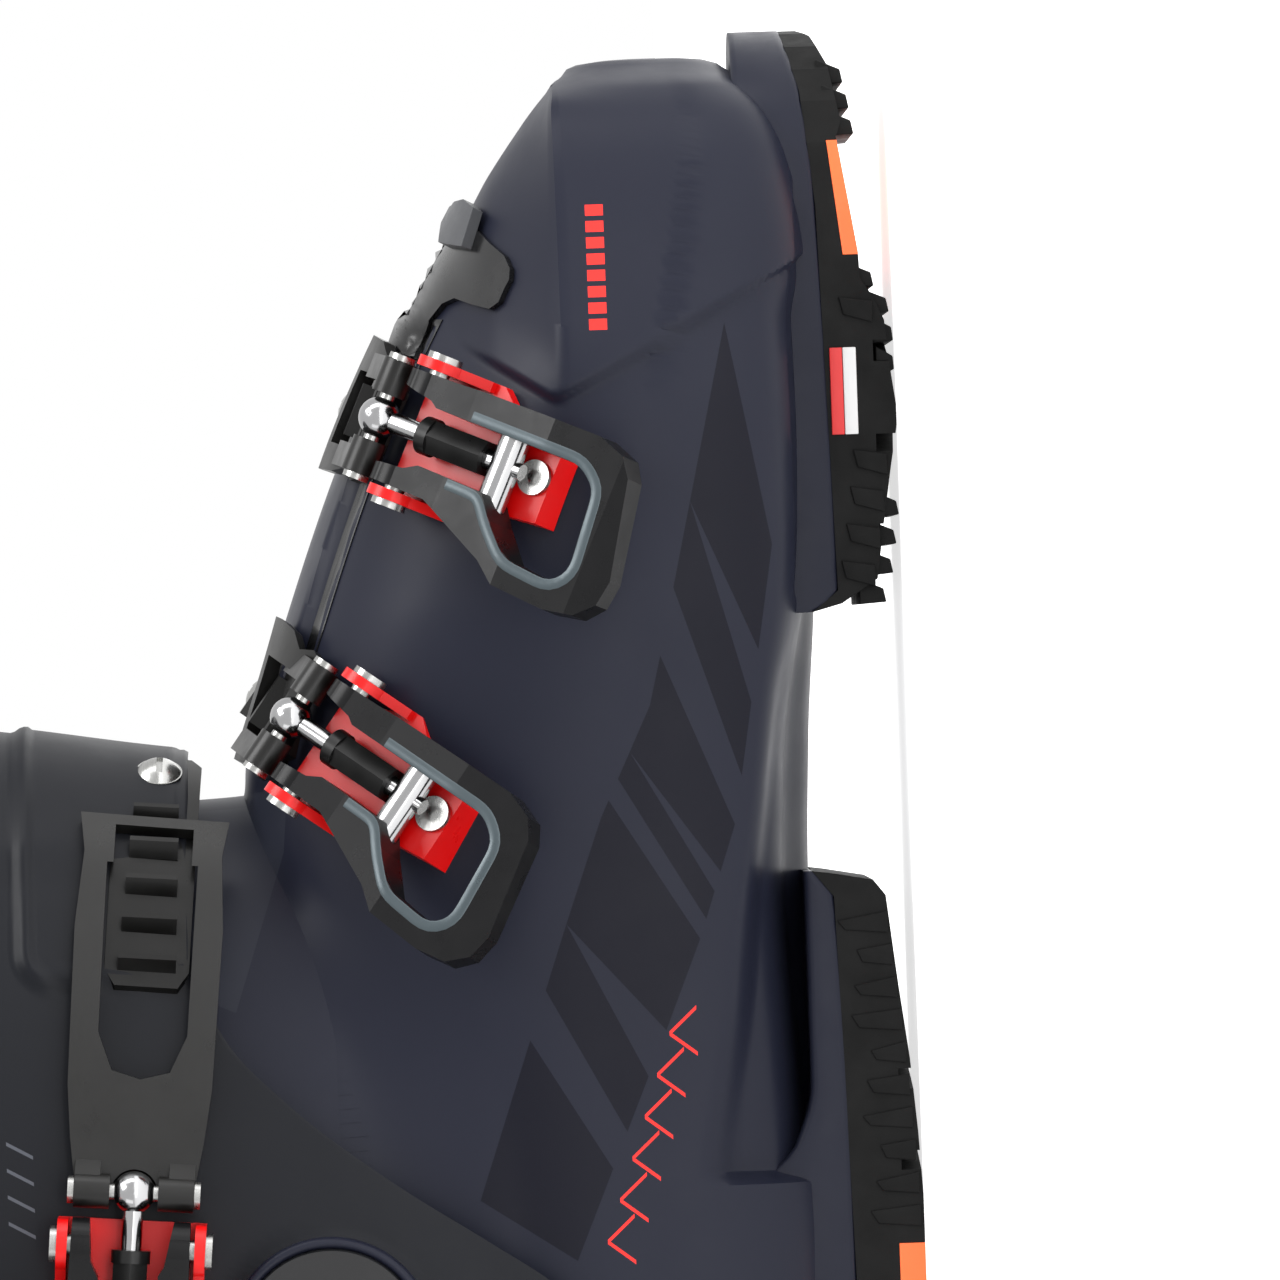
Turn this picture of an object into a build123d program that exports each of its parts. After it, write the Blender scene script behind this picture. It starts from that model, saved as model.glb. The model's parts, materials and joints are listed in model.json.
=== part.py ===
"""Alpine ski boot for the right foot, in millimetres: +X to the toe, +Y to the inner side, +Z up.
The origin is the mid-sole mark: on the ground, on the sole's centreline, half way along the sole."""
import os
from math import cos, pi, radians, sin

from build123d import *

os.makedirs("parts", exist_ok=True)

# Driving dimensions of the boot
SOLE_LENGTH = 305.0
HALF_SOLE = SOLE_LENGTH / 2
WALL = 4.5                       # thickness of the plastic shell
CUFF_WALL = 4.5
FLEX_ROOM = 1.6                  # extra room where the cuff travels
PIVOT = (-93.0, 113.0)           # X, Z of the cuff's hinge line
SHELL_TOP = 160.0                # rim of the lower shell, inside the cuff
CUFF_TOP = 300.0
LINER_GAP = 0.8
LINER_WALL = 7.0

# Shell cross sections: X, underside, top, outer half width, inner half width
SHELL_STATIONS = [
    (146.5, 31.0, 60.0, 16.0, 16.0),
    (141.0, 25.0, 64.0, 30.0, 30.0),
    (128.0, 18.0, 74.0, 41.0, 41.0),
    (108.0, 15.0, 87.0, 48.0, 47.0),
    (78.0, 15.0, 103.0, 53.0, 51.0),
    (45.0, 16.0, 115.0, 52.5, 50.0),
    (18.0, 18.0, 124.0, 49.0, 45.5),
    (-10.0, 19.0, 130.0, 46.0, 43.5),
    (-45.0, 17.0, 132.0, 44.0, 43.0),
    (-80.0, 15.0, 130.0, 43.0, 42.0),
    (-112.0, 15.0, 122.0, 40.0, 40.0),
    (-134.0, 17.0, 112.0, 33.0, 33.0),
    (-146.0, 22.0, 98.0, 18.0, 18.0),
]
# Ankle tower of the shell: Z, front X, rear X, half width
TOWER_STATIONS = [
    (60.0, 20.0, -140.0, 38.0),
    (100.0, 14.0, -139.0, 41.5),
    (130.0, 9.5, -134.0, 43.0),
    (SHELL_TOP, 8.5, -127.0, 42.5),
]
# Cuff: Z, front X, rear X, half width
CUFF_STATIONS = [
    (52.0, 12.0, -152.0, 46.0),
    (80.0, 13.0, -152.0, 49.5),
    (113.0, 14.5, -150.5, 51.5),
    (140.0, 17.5, -146.5, 51.5),
    (172.0, 22.5, -140.0, 51.5),
    (215.0, 28.0, -128.0, 53.5),
    (260.0, 34.0, -112.0, 57.0),
    (CUFF_TOP, 38.5, -99.0, 59.5),
    (322.0, 40.5, -92.0, 60.5),
]
SECTION_POINTS = 16


# ---------------------------------------------------------------- shell bodies
def shell_section(x, low, high, outer, inner, grow):
    """One upright cross section of the shell: flat-bottomed, full at the side, round over the top."""
    middle = low + 0.36 * (high - low)
    points = []
    for i in range(SECTION_POINTS):
        turn = 2 * pi * (i + 0.5) / SECTION_POINTS
        across, up = cos(turn), sin(turn)
        half = (inner if across > 0 else outer) + grow
        reach = (high - middle if up > 0 else middle - low) + grow
        power = 0.86 if up > 0 else 0.52
        y = half * abs(across) ** power * (1 if across > 0 else -1)
        z = middle + reach * abs(up) ** power * (1 if up > 0 else -1)
        points.append(Vector(x, y, z))
    return Face(Wire(Spline(*points, periodic=True)))


def clog(grow=0.0, shift=0.0):
    """The foot part of the shell as a solid, grown outwards by grow."""
    faces = []
    for x, low, high, outer, inner in SHELL_STATIONS:
        reach = x * (1 + grow / HALF_SOLE)
        faces.append(shell_section(reach, low + shift, high, outer, inner, grow))
    return loft(faces, ruled=False)


def oval(z, front, rear, half, grow, lean=0.0):
    """A level, egg-shaped section of the leg: narrower in front than behind."""
    middle, reach = (front + rear) / 2, (front - rear) / 2 + grow
    points = []
    for i in range(SECTION_POINTS):
        turn = 2 * pi * (i + 0.5) / SECTION_POINTS
        ahead, across = cos(turn), sin(turn)
        x = middle + reach * abs(ahead) ** 0.9 * (1 if ahead > 0 else -1)
        taper = 1 - 0.10 * ahead
        y = (half + grow) * taper * abs(across) ** 0.86 * (1 if across > 0 else -1)
        points.append(Vector(x, y, z + lean * ahead))
    return Face(Wire(Spline(*points, periodic=True)))


def leg(stations, grow=0.0, up=0.0):
    """A lofted leg through level ovals, its last one raised by up."""
    last = len(stations) - 1
    faces = [
        oval(z + (up if i == last else 0), front, rear, half, grow)
        for i, (z, front, rear, half) in enumerate(stations)
    ]
    return loft(faces, ruled=False)


def slab(points, y_low, y_high):
    """A prism between two Y planes from an X-Z outline."""
    outline = Polyline(*[(x, 0, z) for x, z in points], close=True)
    prism = extrude(Face(Wire(outline)), amount=y_high - y_low, dir=(0, 1, 0))
    return Pos(0, y_low, 0) * prism


def plan(points, z_low, z_high):
    """A prism between two levels from an X-Y outline."""
    outline = Polyline(*[(x, y, z_low) for x, y in points], close=True)
    return extrude(Face(Wire(outline)), amount=z_high - z_low, dir=(0, 0, 1))


def across(x, z, radius, y_low, y_high):
    """A round bar along Y."""
    bar = Cylinder(radius, y_high - y_low, rotation=(90, 0, 0))
    return Pos(x, (y_low + y_high) / 2, z) * bar


def upright(x, y, radius, z_low, z_high):
    """A round bar along Z."""
    return Pos(x, y, (z_low + z_high) / 2) * Cylinder(radius, z_high - z_low)


def outline_plan(x_square, x_round, half):
    """Half-round sole outline: square at x_square, rounded off at x_round."""
    points = [(x_square, half), (x_square, -half)]
    side = 1 if x_round > x_square else -1
    reach = 34.0
    for i in range(0, 13):
        turn = pi * (i / 12 - 0.5)
        x = x_round - side * reach + side * reach * abs(cos(turn)) ** 0.8
        y = half * sin(turn) if abs(sin(turn)) == 1 else half * abs(sin(turn)) ** 0.9 * (1 if turn > 0 else -1)
        points.append((x, y))
    return points


# ---------------------------------------------------------------- the lower shell
TOE_INTERFACE = [(152.5, 19.5), (140, 16.2), (118, 14.0), (45, 12.2), (41, 17.2)]
HEEL_INTERFACE = [(-8, 19.0), (-13, 15.0), (-86, 13.2), (-152.5, 13.2)]
TOE_HALF = 34.5
HEEL_HALF = 35.0
LUG_TOP = 29.0


def toe_platform():
    """The toe lug and the plate the front sole is screwed to."""
    side = TOE_INTERFACE + [(41, 34), (110, 34), (124, LUG_TOP), (152.5, LUG_TOP)]
    outline = outline_plan(41, HALF_SOLE, TOE_HALF)
    return slab(side, -50, 50) & plan(outline, 0, 60)


def heel_platform():
    """The heel lug and the plate the heel sole is screwed to."""
    side = HEEL_INTERFACE + [(-HALF_SOLE, 31), (-132, 33), (-8, 33)]
    outline = outline_plan(-8, -HALF_SOLE, HEEL_HALF)
    return slab(side, -50, 50) & plan(outline, 0, 60)


def floor_cut(rise):
    """Everything below the boot board's ramp, raised by rise."""
    side = [(150, -10), (150, 27 + rise), (60, 27 + rise), (-60, 35 + rise), (-150, 35 + rise), (-150, -10)]
    return slab(side, -60, 60)


shell_outside = clog() + leg(TOWER_STATIONS)
shell_inside = clog(-WALL) + leg(TOWER_STATIONS, -WALL, up=8)
lower_shell = shell_outside + toe_platform() + heel_platform() - shell_inside
LAP_Y = -12.0                    # the overlap's edge on the instep
LAP_HALF = 1.6
lap_slot = slab([(66, 90), (66, 150), (-20, 180), (-20, 118)], LAP_Y - LAP_HALF, LAP_Y + LAP_HALF)
lower_shell -= lap_slot
lower_shell -= slab([(60, 128), (60, 175), (-40, 175), (-26, 150)], -26, 26)
lower_shell -= across(*PIVOT, 6.0, -60, 60)

boot_board = (clog(-WALL - 0.3) & floor_cut(-0.3)) - slab([(-170, -9), (170, -9), (170, 20.2), (-170, 20.2)], -60, 60)
soft_outside = clog(-WALL - LINER_GAP) + leg(TOWER_STATIONS, -WALL - LINER_GAP)
soft_inside = clog(-WALL - LINER_GAP - LINER_WALL) + leg(TOWER_STATIONS, -WALL - LINER_GAP - LINER_WALL, up=8)
liner_foot = soft_outside - (soft_inside - floor_cut(LINER_WALL)) - floor_cut(0.0)
liner_foot -= slab([(-40, SHELL_TOP - 3), (60, SHELL_TOP - 30), (60, 200), (-200, 200), (-200, SHELL_TOP - 3)], -70, 70)

GASKET = [
    (116.0, 86.0), (115.3, 82.6), (116.4, 76.8), (112.6, 75.0), (107.7, 71.4), (104.0, 72.5), (101.2, 73.9),
    (99.8, 75.4), (102.4, 82.1), (98.7, 86.9), (91.3, 90.1), (93.3, 100.0), (112.0, 95.0),
]
toe_gasket = (clog(1.6) - clog(0.15)) & slab(GASKET, -60, -1.5)
clip_side = [(112.0, 76.5), (120.5, 73.5), (120.5, 80.0), (112.0, 83.5)]
gasket_clip = ((clog(4.0) - clog(0.2)) & slab(clip_side, -60, -4)) - clog(1.7)
lap_seal = (clog(-WALL - 0.15) - clog(-WALL - 0.65)) & slab([(55, 80), (55, 130), (12, 140), (12, 100)], LAP_Y - 6, LAP_Y + 6)

# ---------------------------------------------------------------- the soles
TOE_TREAD = [
    (152.5, 16.0), (151, 13.5), (145, 10.6), (134, 8.6), (131, 9.6), (109, 6.2), (104, 6.0), (101, 4.0),
    (96, 1.7), (87, 0.9), (80, 0), (76, 0), (68, 1.4), (58, 3.0), (47, 4.6), (42.5, 11.5),
]
HEEL_TREAD = [
    (-8.5, 15.5), (-10, 7.5), (-13, 5.2), (-30, 3.4), (-44, 1.7), (-58, 0.6), (-70, 0), (-148, 0),
    (-151, 1.5), (-152.5, 5.0),
]
TOE_GROOVES = [(92.0, 4.0), (74.5, 3.4), (57.0, 4.2)]
HEEL_GROOVES = [(-46.0, 3.8), (-61.5, 3.6), (-110.0, 3.6), (-126.0, 3.6)]
GROOVE_DEPTH = 3.0
SCREWS = [(112, 17), (112, -17), (58, 19), (58, -19), (-34, 19), (-34, -19), (-118, 19), (-118, -19)]


def grooves(places):
    """Slanted channels across the tread, on both sides of a smooth middle rib."""
    cut = []
    for x, width in places:
        for side in (-1, 1):
            bar = Box(width, 34, 16)
            cut.append(Pos(x, side * 24, GROOVE_DEPTH + 1.0 - 8.0) * Rot(0, 0, side * 10) * bar)
    return cut


def screw_holes(radius, head):
    """Counterbored holes for the sole screws."""
    cut = []
    for x, y in SCREWS:
        cut.append(upright(x, y, radius, -1, 24))
        cut.append(upright(x, y, head, -1, 8.5 if x < 100 else 11.5))
    return cut


front = slab(TOE_INTERFACE[::-1] + TOE_TREAD, -50, 50) & plan(outline_plan(41, HALF_SOLE, TOE_HALF - 0.3), -5, 60)
toe_pocket = slab([(108.5, 0), (108.5, 9.2), (130.5, 11.6), (130.5, 0)], -60, 60)
toe_sole = front - toe_pocket - grooves(TOE_GROOVES) - screw_holes(2.6, 5.2) - shell_outside
toe_insert = front & slab([(108.6, 0), (108.6, 9.1), (130.4, 11.5), (130.4, 0)], -60, 60)
toe_sole_insert = toe_insert - screw_holes(2.6, 5.2)
back = slab(HEEL_INTERFACE[::-1] + HEEL_TREAD, -50, 50) & plan(outline_plan(-8, -HALF_SOLE, HEEL_HALF - 0.3), -5, 60)
heel_pocket = slab([(-79, -1), (-79, 5.0), (-101, 5.0), (-101, -1)], -60, 60)
heel_sole = back - heel_pocket - grooves(HEEL_GROOVES) - screw_holes(2.6, 5.2) - shell_outside
heel_sole_insert = back & slab([(-79.1, -1), (-79.1, 4.9), (-100.9, 4.9), (-100.9, -1)], -60, 60)
lower_shell -= screw_holes(1.9, 1.9)
sole_screws = []
for x, y in SCREWS:
    floor = 8.5 if x < 100 else 11.5
    screw = upright(x, y, 4.6, floor - 2.8, floor) + upright(x, y, 1.8, floor - 0.1, 19.0)
    screw -= Pos(x, y, floor - 2.8) * Box(6.0, 1.1, 2.0)
    sole_screws.append(screw)

# ---------------------------------------------------------------- the cuff
EDGE = [
    (-160, 57), (-132, 56), (-108, 58), (-92, 63), (-84, 70.5), (-76, 82), (-64, 100), (-49, 119),
    (-36, 131), (-22, 137), (40, 137),
]
CUFF_REAR = 320.0
CUFF_FRONT = 288.0
BOSS_FACE = 54.0


def cuff_band(low, high):
    """A skin that follows the cuff's outside between two distances from it."""
    return leg(CUFF_STATIONS, high) - leg(CUFF_STATIONS, low)


cuff_outside = leg(CUFF_STATIONS)
cuff_inside = leg([(40.0, 8.0, -152.0, 45.0)] + CUFF_STATIONS[1:], -CUFF_WALL, up=6)
boss = across(*PIVOT, 18.0, -BOSS_FACE, -40) + across(*PIVOT, 18.0, 40, BOSS_FACE)
cuff_shell = cuff_outside + boss - cuff_inside
cuff_shell -= slab([(-200, 20)] + EDGE + [(80, 137), (80, 20)], -90, 90)
cuff_shell -= slab([(-200, CUFF_REAR), (-60, CUFF_REAR - 6), (80, CUFF_FRONT - 10), (80, 400), (-200, 400)], -90, 90)
notch = Polyline((0, -7, 236), (0, 7, 236), (0, 24, 345), (0, -24, 345), close=True)
cuff_shell -= extrude(Face(Wire(notch)), amount=80, dir=(1, 0, 0))
cuff_shell -= across(*PIVOT, 6.05, -70, 70)
shell_room = clog(FLEX_ROOM) + leg(TOWER_STATIONS, FLEX_ROOM)
for turn in (0.0, 2.0, 4.0):
    about = Pos(PIVOT[0], 0, PIVOT[1])
    cuff_shell -= about * Rot(0, -turn, 0) * about.inverse() * shell_room

# ---------------------------------------------------------------- liner shaft, tongue, strap, spine
LINER_LOW = 171.0
LINER_TOP = 334.0
LINER_STATIONS = CUFF_STATIONS + [(350.0, 42.5, -84.0, 60.5)]
liner_outside = leg(LINER_STATIONS, -CUFF_WALL - 1.0)
liner_inside = leg(LINER_STATIONS, -CUFF_WALL - 1.0 - LINER_WALL, up=2)
liner_ring = liner_outside - liner_inside - slab([(-200, 0), (-200, LINER_LOW), (80, LINER_LOW), (80, 0)], -90, 90)
liner_ring -= slab([(-200, LINER_TOP), (-40, LINER_TOP), (80, LINER_TOP - 24), (80, 500), (-200, 500)], -90, 90)
TONGUE_TOP = 344.0
tongue_block = Pos(55, 0, (174 + TONGUE_TOP) / 2) * Box(120, 58, TONGUE_TOP - 174)
liner_shaft = liner_ring - Pos(55, 0, 270) * Box(121, 59.4, 262)
liner_tongue = (liner_outside - liner_inside) & tongue_block

STRAP_LOW = 238.0
STRAP_HIGH = 276.0
strap_side = slab([(-160, STRAP_LOW + 12), (80, STRAP_LOW), (80, STRAP_HIGH), (-160, STRAP_HIGH + 12)], -90, 90)
power_strap = cuff_band(0.4, 2.6) & strap_side
strap_frame = cuff_band(2.7, 5.2) & slab([(-8, 240), (-8, 281), (6, 281), (6, 240)], -90, 0)
strap_window = slab([(-4.6, 243.5), (-4.6, 277.5), (2.6, 277.5), (2.6, 243.5)], -90, 0)
power_strap_buckle = strap_frame - strap_window
blade_side = plan([(-200, -16), (-100, -13), (-100, 13), (-200, 16)], 74, 236)
spine_blade = (cuff_band(0.0, 3.2) & blade_side) - plan([(-200, -6), (-100, -6), (-100, 6), (-200, 6)], 110, 180)
SPINE_BOLTS = (92.0, 200.0, 222.0)
spine_bolts = []
for z in SPINE_BOLTS:
    rear = -151.6 if z < 150 else -132.2 + (z - 200) * 0.3
    head = Pos(rear - 4.5, 0, z) * Cylinder(4.5, 3.0, rotation=(0, 90, 0))
    shank = Pos(rear - 0.4, 0, z) * Cylinder(2.0, 6.0, rotation=(0, 90, 0))
    spine_bolts.append(head + shank)

pivot_bolts = []
pivot_washers = []
for side in (-1, 1):
    near, far = sorted((side * 38.5, side * (BOSS_FACE + 0.2)))
    shank = across(*PIVOT, 6.0, near, far)
    near, far = sorted((side * (BOSS_FACE + 0.1), side * (BOSS_FACE + 2.6)))
    bolt = shank + across(*PIVOT, 10.6, near, far)
    bolt -= Pos(PIVOT[0], side * (BOSS_FACE + 2.6), PIVOT[1]) * Cylinder(3.2, 3.0, rotation=(90, 0, 0))
    pivot_bolts.append(bolt)
    near, far = sorted((side * BOSS_FACE, side * (BOSS_FACE + 1.5)))
    pivot_washers.append(across(*PIVOT, 17.0, near, far) - across(*PIVOT, 11.0, -90, 90))

# ---------------------------------------------------------------- buckles
PIVOT_HEIGHT = 8.0               # lever pivot above the base plate's underside
ROD_HEIGHT = 6.0                 # rod's axis above the same plane
TRUNNION_AT = 19.8               # along the lever from its pivot
BALL_AT = -10.3
PIN_RADIUS = 2.0
RUNNING = 0.05
LEVER_OUTLINE = [
    (-5.7, -8.0), (-5.7, -11.0), (7.0, -11.2), (14, -11.5), (27.5, -11.6), (39.8, -11.6), (45.5, -9.6), (47.9, -6.0),
    (51.6, 13.2), (50.8, 18.2), (47.5, 21.6), (41.5, 22.6), (30.0, 21.8), (25.4, 18.4), (9.6, 11.5),
    (-5.7, 11.2), (-5.7, 8.0), (3.0, 7.4), (5.9, 5.9), (20.9, 6.3), (24.5, 10.8), (30.5, 16.3),
    (41.0, 17.3), (43.8, 14.2), (42.4, -1.9), (38.1, -5.2), (5.0, -5.4), (3.4, -6.4),
]
LEVER_SIDE = [(25, 2.7), (34, 4.4), (52.5, 3.4), (53.0, 7.0), (46, 9.8), (30, 12.0), (12, 12.4), (0, 13.1)]


class Buckle:
    """Frames of one buckle: the lever's plane, and planes that walk round the shell to the catch."""

    def __init__(self, origin, q, tilt, wrap, skin):
        turn = radians(tilt)
        q = Vector(*q).normalized()
        p = Vector(-q.Z * cos(turn), -sin(turn), q.X * cos(turn))
        c = Vector(q.Z * sin(turn), -cos(turn), -q.X * sin(turn))
        self.p, self.q, self.c = p, q, c
        self.pivot = Vector(*origin)
        self.base = self.pivot - c * PIVOT_HEIGHT
        self.wrap = wrap
        self.skin = skin
        self.frame = Plane(self.base, x_dir=p, z_dir=c).location

    def at(self, p, q, c):
        """A point in the row frame from the buckle's own three distances."""
        return self.base + self.p * p + self.q * q + self.c * c

    def round_frame(self, angle):
        """The frame on the surface after walking the given angle towards the catch."""
        centre, depth, radius = self.wrap
        turn = radians(angle)
        origin = self.at(centre - radius * sin(turn), 0, depth + radius * cos(turn))
        x_dir = self.p * cos(turn) + self.c * sin(turn)
        z_dir = self.c * cos(turn) - self.p * sin(turn)
        hits = self.skin.find_intersection_points(Axis(origin + z_dir * 60, z_dir * -1))
        seat = max((hit[0] for hit in hits), key=lambda spot: (spot - origin).dot(z_dir))
        return Plane(seat, x_dir=x_dir, z_dir=z_dir).location


def flat(points, low, high):
    """A prism in a buckle's frame from outline points given as (along, across)."""
    outline = Polyline(*[(a, -b, low) for a, b in points], close=True)
    return extrude(Face(Wire(outline)), amount=high - low, dir=(0, 0, 1))


def side_on(points, near, far):
    """A prism across a buckle's frame from side-view points given as (along, height)."""
    outline = Polyline(*[(a, -far, h) for a, h in points], close=True)
    return extrude(Face(Wire(outline)), amount=far - near, dir=(0, 1, 0))


def bar(along, height, radius, near, far):
    """A round bar across a buckle's frame."""
    return Pos(along, -(near + far) / 2, height) * Cylinder(radius, far - near, rotation=(90, 0, 0))


def block(along, span, height):
    """A box from low and high limits along, across and up."""
    low, high = along
    near, far = span
    bottom, top = height
    box = Box(high - low, far - near, top - bottom)
    return Pos((low + high) / 2, -(near + far) / 2, (bottom + top) / 2) * box


def lever():
    """The U-shaped lever with two arms, a window and bores for its pins and trunnion."""
    body = flat(LEVER_OUTLINE, -2, 16)
    profile = side_on(LEVER_SIDE + [(-2, 13.0), (-4.6, 6.0), (-1.5, 2.9), (4, 2.9)], -14, 26)
    profile += bar(0, PIVOT_HEIGHT, 5.25, -14, 26)
    body = body & profile
    body -= bar(0, PIVOT_HEIGHT, PIN_RADIUS + RUNNING, -30, 30)
    return body - bar(TRUNNION_AT, ROD_HEIGHT, 3.0 + RUNNING, -8.6, 9.4)


def lever_pins():
    """Two short rivets, one in each ear, with a round head outside."""
    pins = []
    for side in (-1, 1):
        near, far = sorted((side * 8.2, side * 14.1))
        pin = bar(0, PIVOT_HEIGHT, PIN_RADIUS, near, far)
        near, far = sorted((side * 14.05, side * 15.3))
        pins.append(pin + bar(0, PIVOT_HEIGHT, 3.4, near, far))
    return pins


def buckle_base(buckle):
    """The riveted plate with two ears, its underside cut to the shell's shape."""
    plate = flat([(-5, -14), (11, -14), (17, -9), (28, -8), (28, 8), (17, 9), (11, 14), (-5, 14)], -9, 2)
    ears = block((-5, 9.2), (-14, -12), (1, 13)) + block((-5, 9.2), (12, 14), (1, 13))
    ears = ears & (bar(0, PIVOT_HEIGHT, 4.8, -20, 20) + side_on([(-4.8, 8), (-5, 0), (9.2, 0), (9.0, 3.5), (4.6, 9)], -20, 20))
    base = buckle.frame * (plate + ears) - buckle.frame * bar(0, PIVOT_HEIGHT, PIN_RADIUS, -30, 30)
    return max((base - buckle.skin).solids(), key=lambda solid: solid.volume)


def trunnion_rod():
    """The rod: its trunnion in the lever, its shank, and the ball that carries the bail."""
    trunnion = bar(TRUNNION_AT, ROD_HEIGHT, 3.0, -8.2, 9.0)
    shank = Pos((TRUNNION_AT + BALL_AT) / 2, 0, ROD_HEIGHT) * Cylinder(2.0, TRUNNION_AT - BALL_AT, rotation=(0, 90, 0))
    tail = Pos(TRUNNION_AT + 2.4, 0, ROD_HEIGHT) * Cylinder(1.6, 3.2, rotation=(0, 90, 0))
    ball = Pos(BALL_AT, 0, ROD_HEIGHT) * Sphere(4.0)
    return trunnion + shank + tail + ball - bar(BALL_AT, ROD_HEIGHT, 1.5 + RUNNING, -9, 9)


def sleeve():
    """The six-sided adjusting sleeve that turns on the rod."""
    outline = extrude(RegularPolygon(3.7, 6), amount=15.0)
    collar = Cylinder(3.7, 2.4)
    body = outline + Pos(0, 0, 1.2) * collar - Cylinder(2.0 + RUNNING, 60)
    return Pos(0.6, 0, ROD_HEIGHT) * Rot(0, 90, 0) * body


def bail_pin():
    """The pin through the bail and the rod's ball, headed at both ends."""
    pin = bar(BALL_AT, ROD_HEIGHT, 1.5, -11.6, 11.6)
    return pin + bar(BALL_AT, ROD_HEIGHT, 2.6, 11.4, 12.5) + bar(BALL_AT, ROD_HEIGHT, 2.6, -12.5, -11.4)


CHEEK = [(-13.2, 7.5), (-7.6, 4.2), (-9.0, 1.5), (-15.5, -3.5), (-23.5, -6.5), (-22.0, -2.5)]


def bail_barrel(buckle, band):
    """The two halves of the bail's barrel, with cheeks down to the plate."""
    halves = []
    for side in (-1, 1):
        barrel = bar(BALL_AT, ROD_HEIGHT, 3.3, *sorted((side * 4.6, side * 11.3)))
        cheek = side_on(CHEEK, *sorted((side * 6.5, side * 11.3)))
        halves.append(buckle.frame * (barrel + cheek))
    return [half - band[2] for half in halves]


def place(buckle, shape):
    """A shape or a list of shapes moved into the buckle's frame."""
    if isinstance(shape, list):
        return [buckle.frame * piece for piece in shape]
    return buckle.frame * shape


def tooth(width):
    """One ramped tooth, its hooking face leaning back a little."""
    return side_on([(0, -3), (0.8, 4.6), (1.8, 4.6), (3.6, 1.4), (3.6, -3)], -width / 2, width / 2)


HOOK_GAP = 1.3                   # between the bail's bar and the tooth it hooks behind
HOOK_BAR = 2.4


def catch(buckle, band, hook, step, count, ahead, half, reach, foot):
    """A toothed catch that follows the shell, its teeth step degrees apart."""
    here = buckle.round_frame(hook)
    low, high = reach
    shape = [(low, -half + 2), (low + 3, -half), (high - 3, -half), (high, -half + 2)]
    shape += [(a, -b) for a, b in shape[::-1]]
    plate = band[0] & (here * flat(shape, -30, 30))
    teeth = []
    for i in range(count):
        width = 2 * half - 5 - 0.6 * i
        place_at = buckle.round_frame(hook + (i - ahead) * step)
        teeth.append(place_at * tooth(width) - buckle.skin)
    body = plate + teeth
    return body - buckle.round_frame(foot) * Cylinder(2.3, 30)


def catch_screw(buckle, foot):
    """A dome-headed screw at the catch's foot."""
    dome = Pos(0, 0, 1.7) * Cylinder(4.4, 1.4) + (Pos(0, 0, -0.4) * Sphere(5.0) & Pos(0, 0, 7.4) * Box(12, 12, 10))
    slot = Pos(0, 0, 4.6) * Box(5.0, 1.2, 2.4)
    return buckle.round_frame(foot) * (dome + Pos(0, 0, -0.4) * Cylinder(2.2, 5.2) - slot)


def bail(buckle, band, outline, hook, windows):
    """The hooked frame: a curved plate with a window for the teeth, and its barrel at the ball."""
    here = buckle.round_frame(hook)
    plate = band[1] & (buckle.frame * flat(outline, -70, 6))
    plate -= here * block((-90, -HOOK_GAP - HOOK_BAR), (-60, 60), (-60, 60))
    for points in windows:
        plate -= buckle.frame * flat(points, -70, 20)
    plate -= here * block((-HOOK_GAP, 9.0 if windows else 12.5), (-7.4, 7.4), (-40, 20))
    body = plate + bail_barrel(buckle, band)
    body -= buckle.frame * bar(BALL_AT, ROD_HEIGHT, 1.5, -20, 20)
    body -= [buckle.frame * bar(BALL_AT, ROD_HEIGHT, 3.1, *span) for span in ((-18, -11.35), (11.35, 18))]
    return body - buckle.frame * (Pos(BALL_AT, 0, ROD_HEIGHT) * Sphere(4.6))


def base_rivets(buckle):
    """Two rivets that hold the base plate to the shell."""
    rivets = []
    for q in (-9.5, 9.5):
        shank = Pos(2.0, -q, -0.2) * Cylinder(1.8, 4.4)
        rivets.append(buckle.frame * shank)
    tail = Pos(24.5, 0, -1.2) * Cylinder(1.8, 6.4) + Pos(24.5, 0, 2.5) * Cylinder(3.4, 1.0)
    rivets.append(buckle.frame * tail)
    return rivets


shell_band = (clog(1.6) - clog(), clog(5.0) - clog(2.2), clog(2.2))
cuff_skin = cuff_outside + boss
cuff_bands = (cuff_band(0.0, 1.6), cuff_band(2.2, 5.0), leg(CUFF_STATIONS, 2.2))
SHELL_PLATE = [
    (-11.5, -11.3), (-15, -13.0), (-19, -11.6), (-23, -14.0), (-29, -14.5), (-48, -13.0),
    (-48, 12.2), (-29, 13.0), (-23, 12.6), (-19, 11.4), (-15, 13.0), (-11.5, 11.3),
]
CUFF_PLATE = [
    (-11.5, -11.3), (-20, -12.6), (-30, -13.6), (-60, -14.0), (-74, -13.0), (-84, -14.6), (-90, -14.6),
    (-90, 14.6), (-84, 14.6), (-74, 13.0), (-60, 14.0), (-30, 13.6), (-20, 12.6), (-11.5, 11.3),
]
CUFF_WINDOW = [(-72, -8.6), (-40, -8.4), (-33, -5.5), (-31.5, 0), (-33, 5.5), (-40, 8.4), (-72, 8.6)]
BUCKLES = {
    "forefoot": Buckle((77.6, -48.9, 90.9), (-0.916, 0, 0.40), 32, (8.0, -42.0, 42.0), shell_outside),
    "instep": Buckle((19.73, -44.96, 110.06), (-0.81, 0, 0.589), 28, (6.0, -38.5, 38.5), shell_outside),
    "lower_cuff": Buckle((-73.9, -60.0, 150.0), (0.087, 0, 0.996), 0, (-35.8, -66.85, 62.0), cuff_skin),
    "upper_cuff": Buckle((-64.0, -61.5, 208.0), (0.156, 0, 0.988), 0, (-23.1, -84.6, 82.0), cuff_skin),
}
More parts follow.
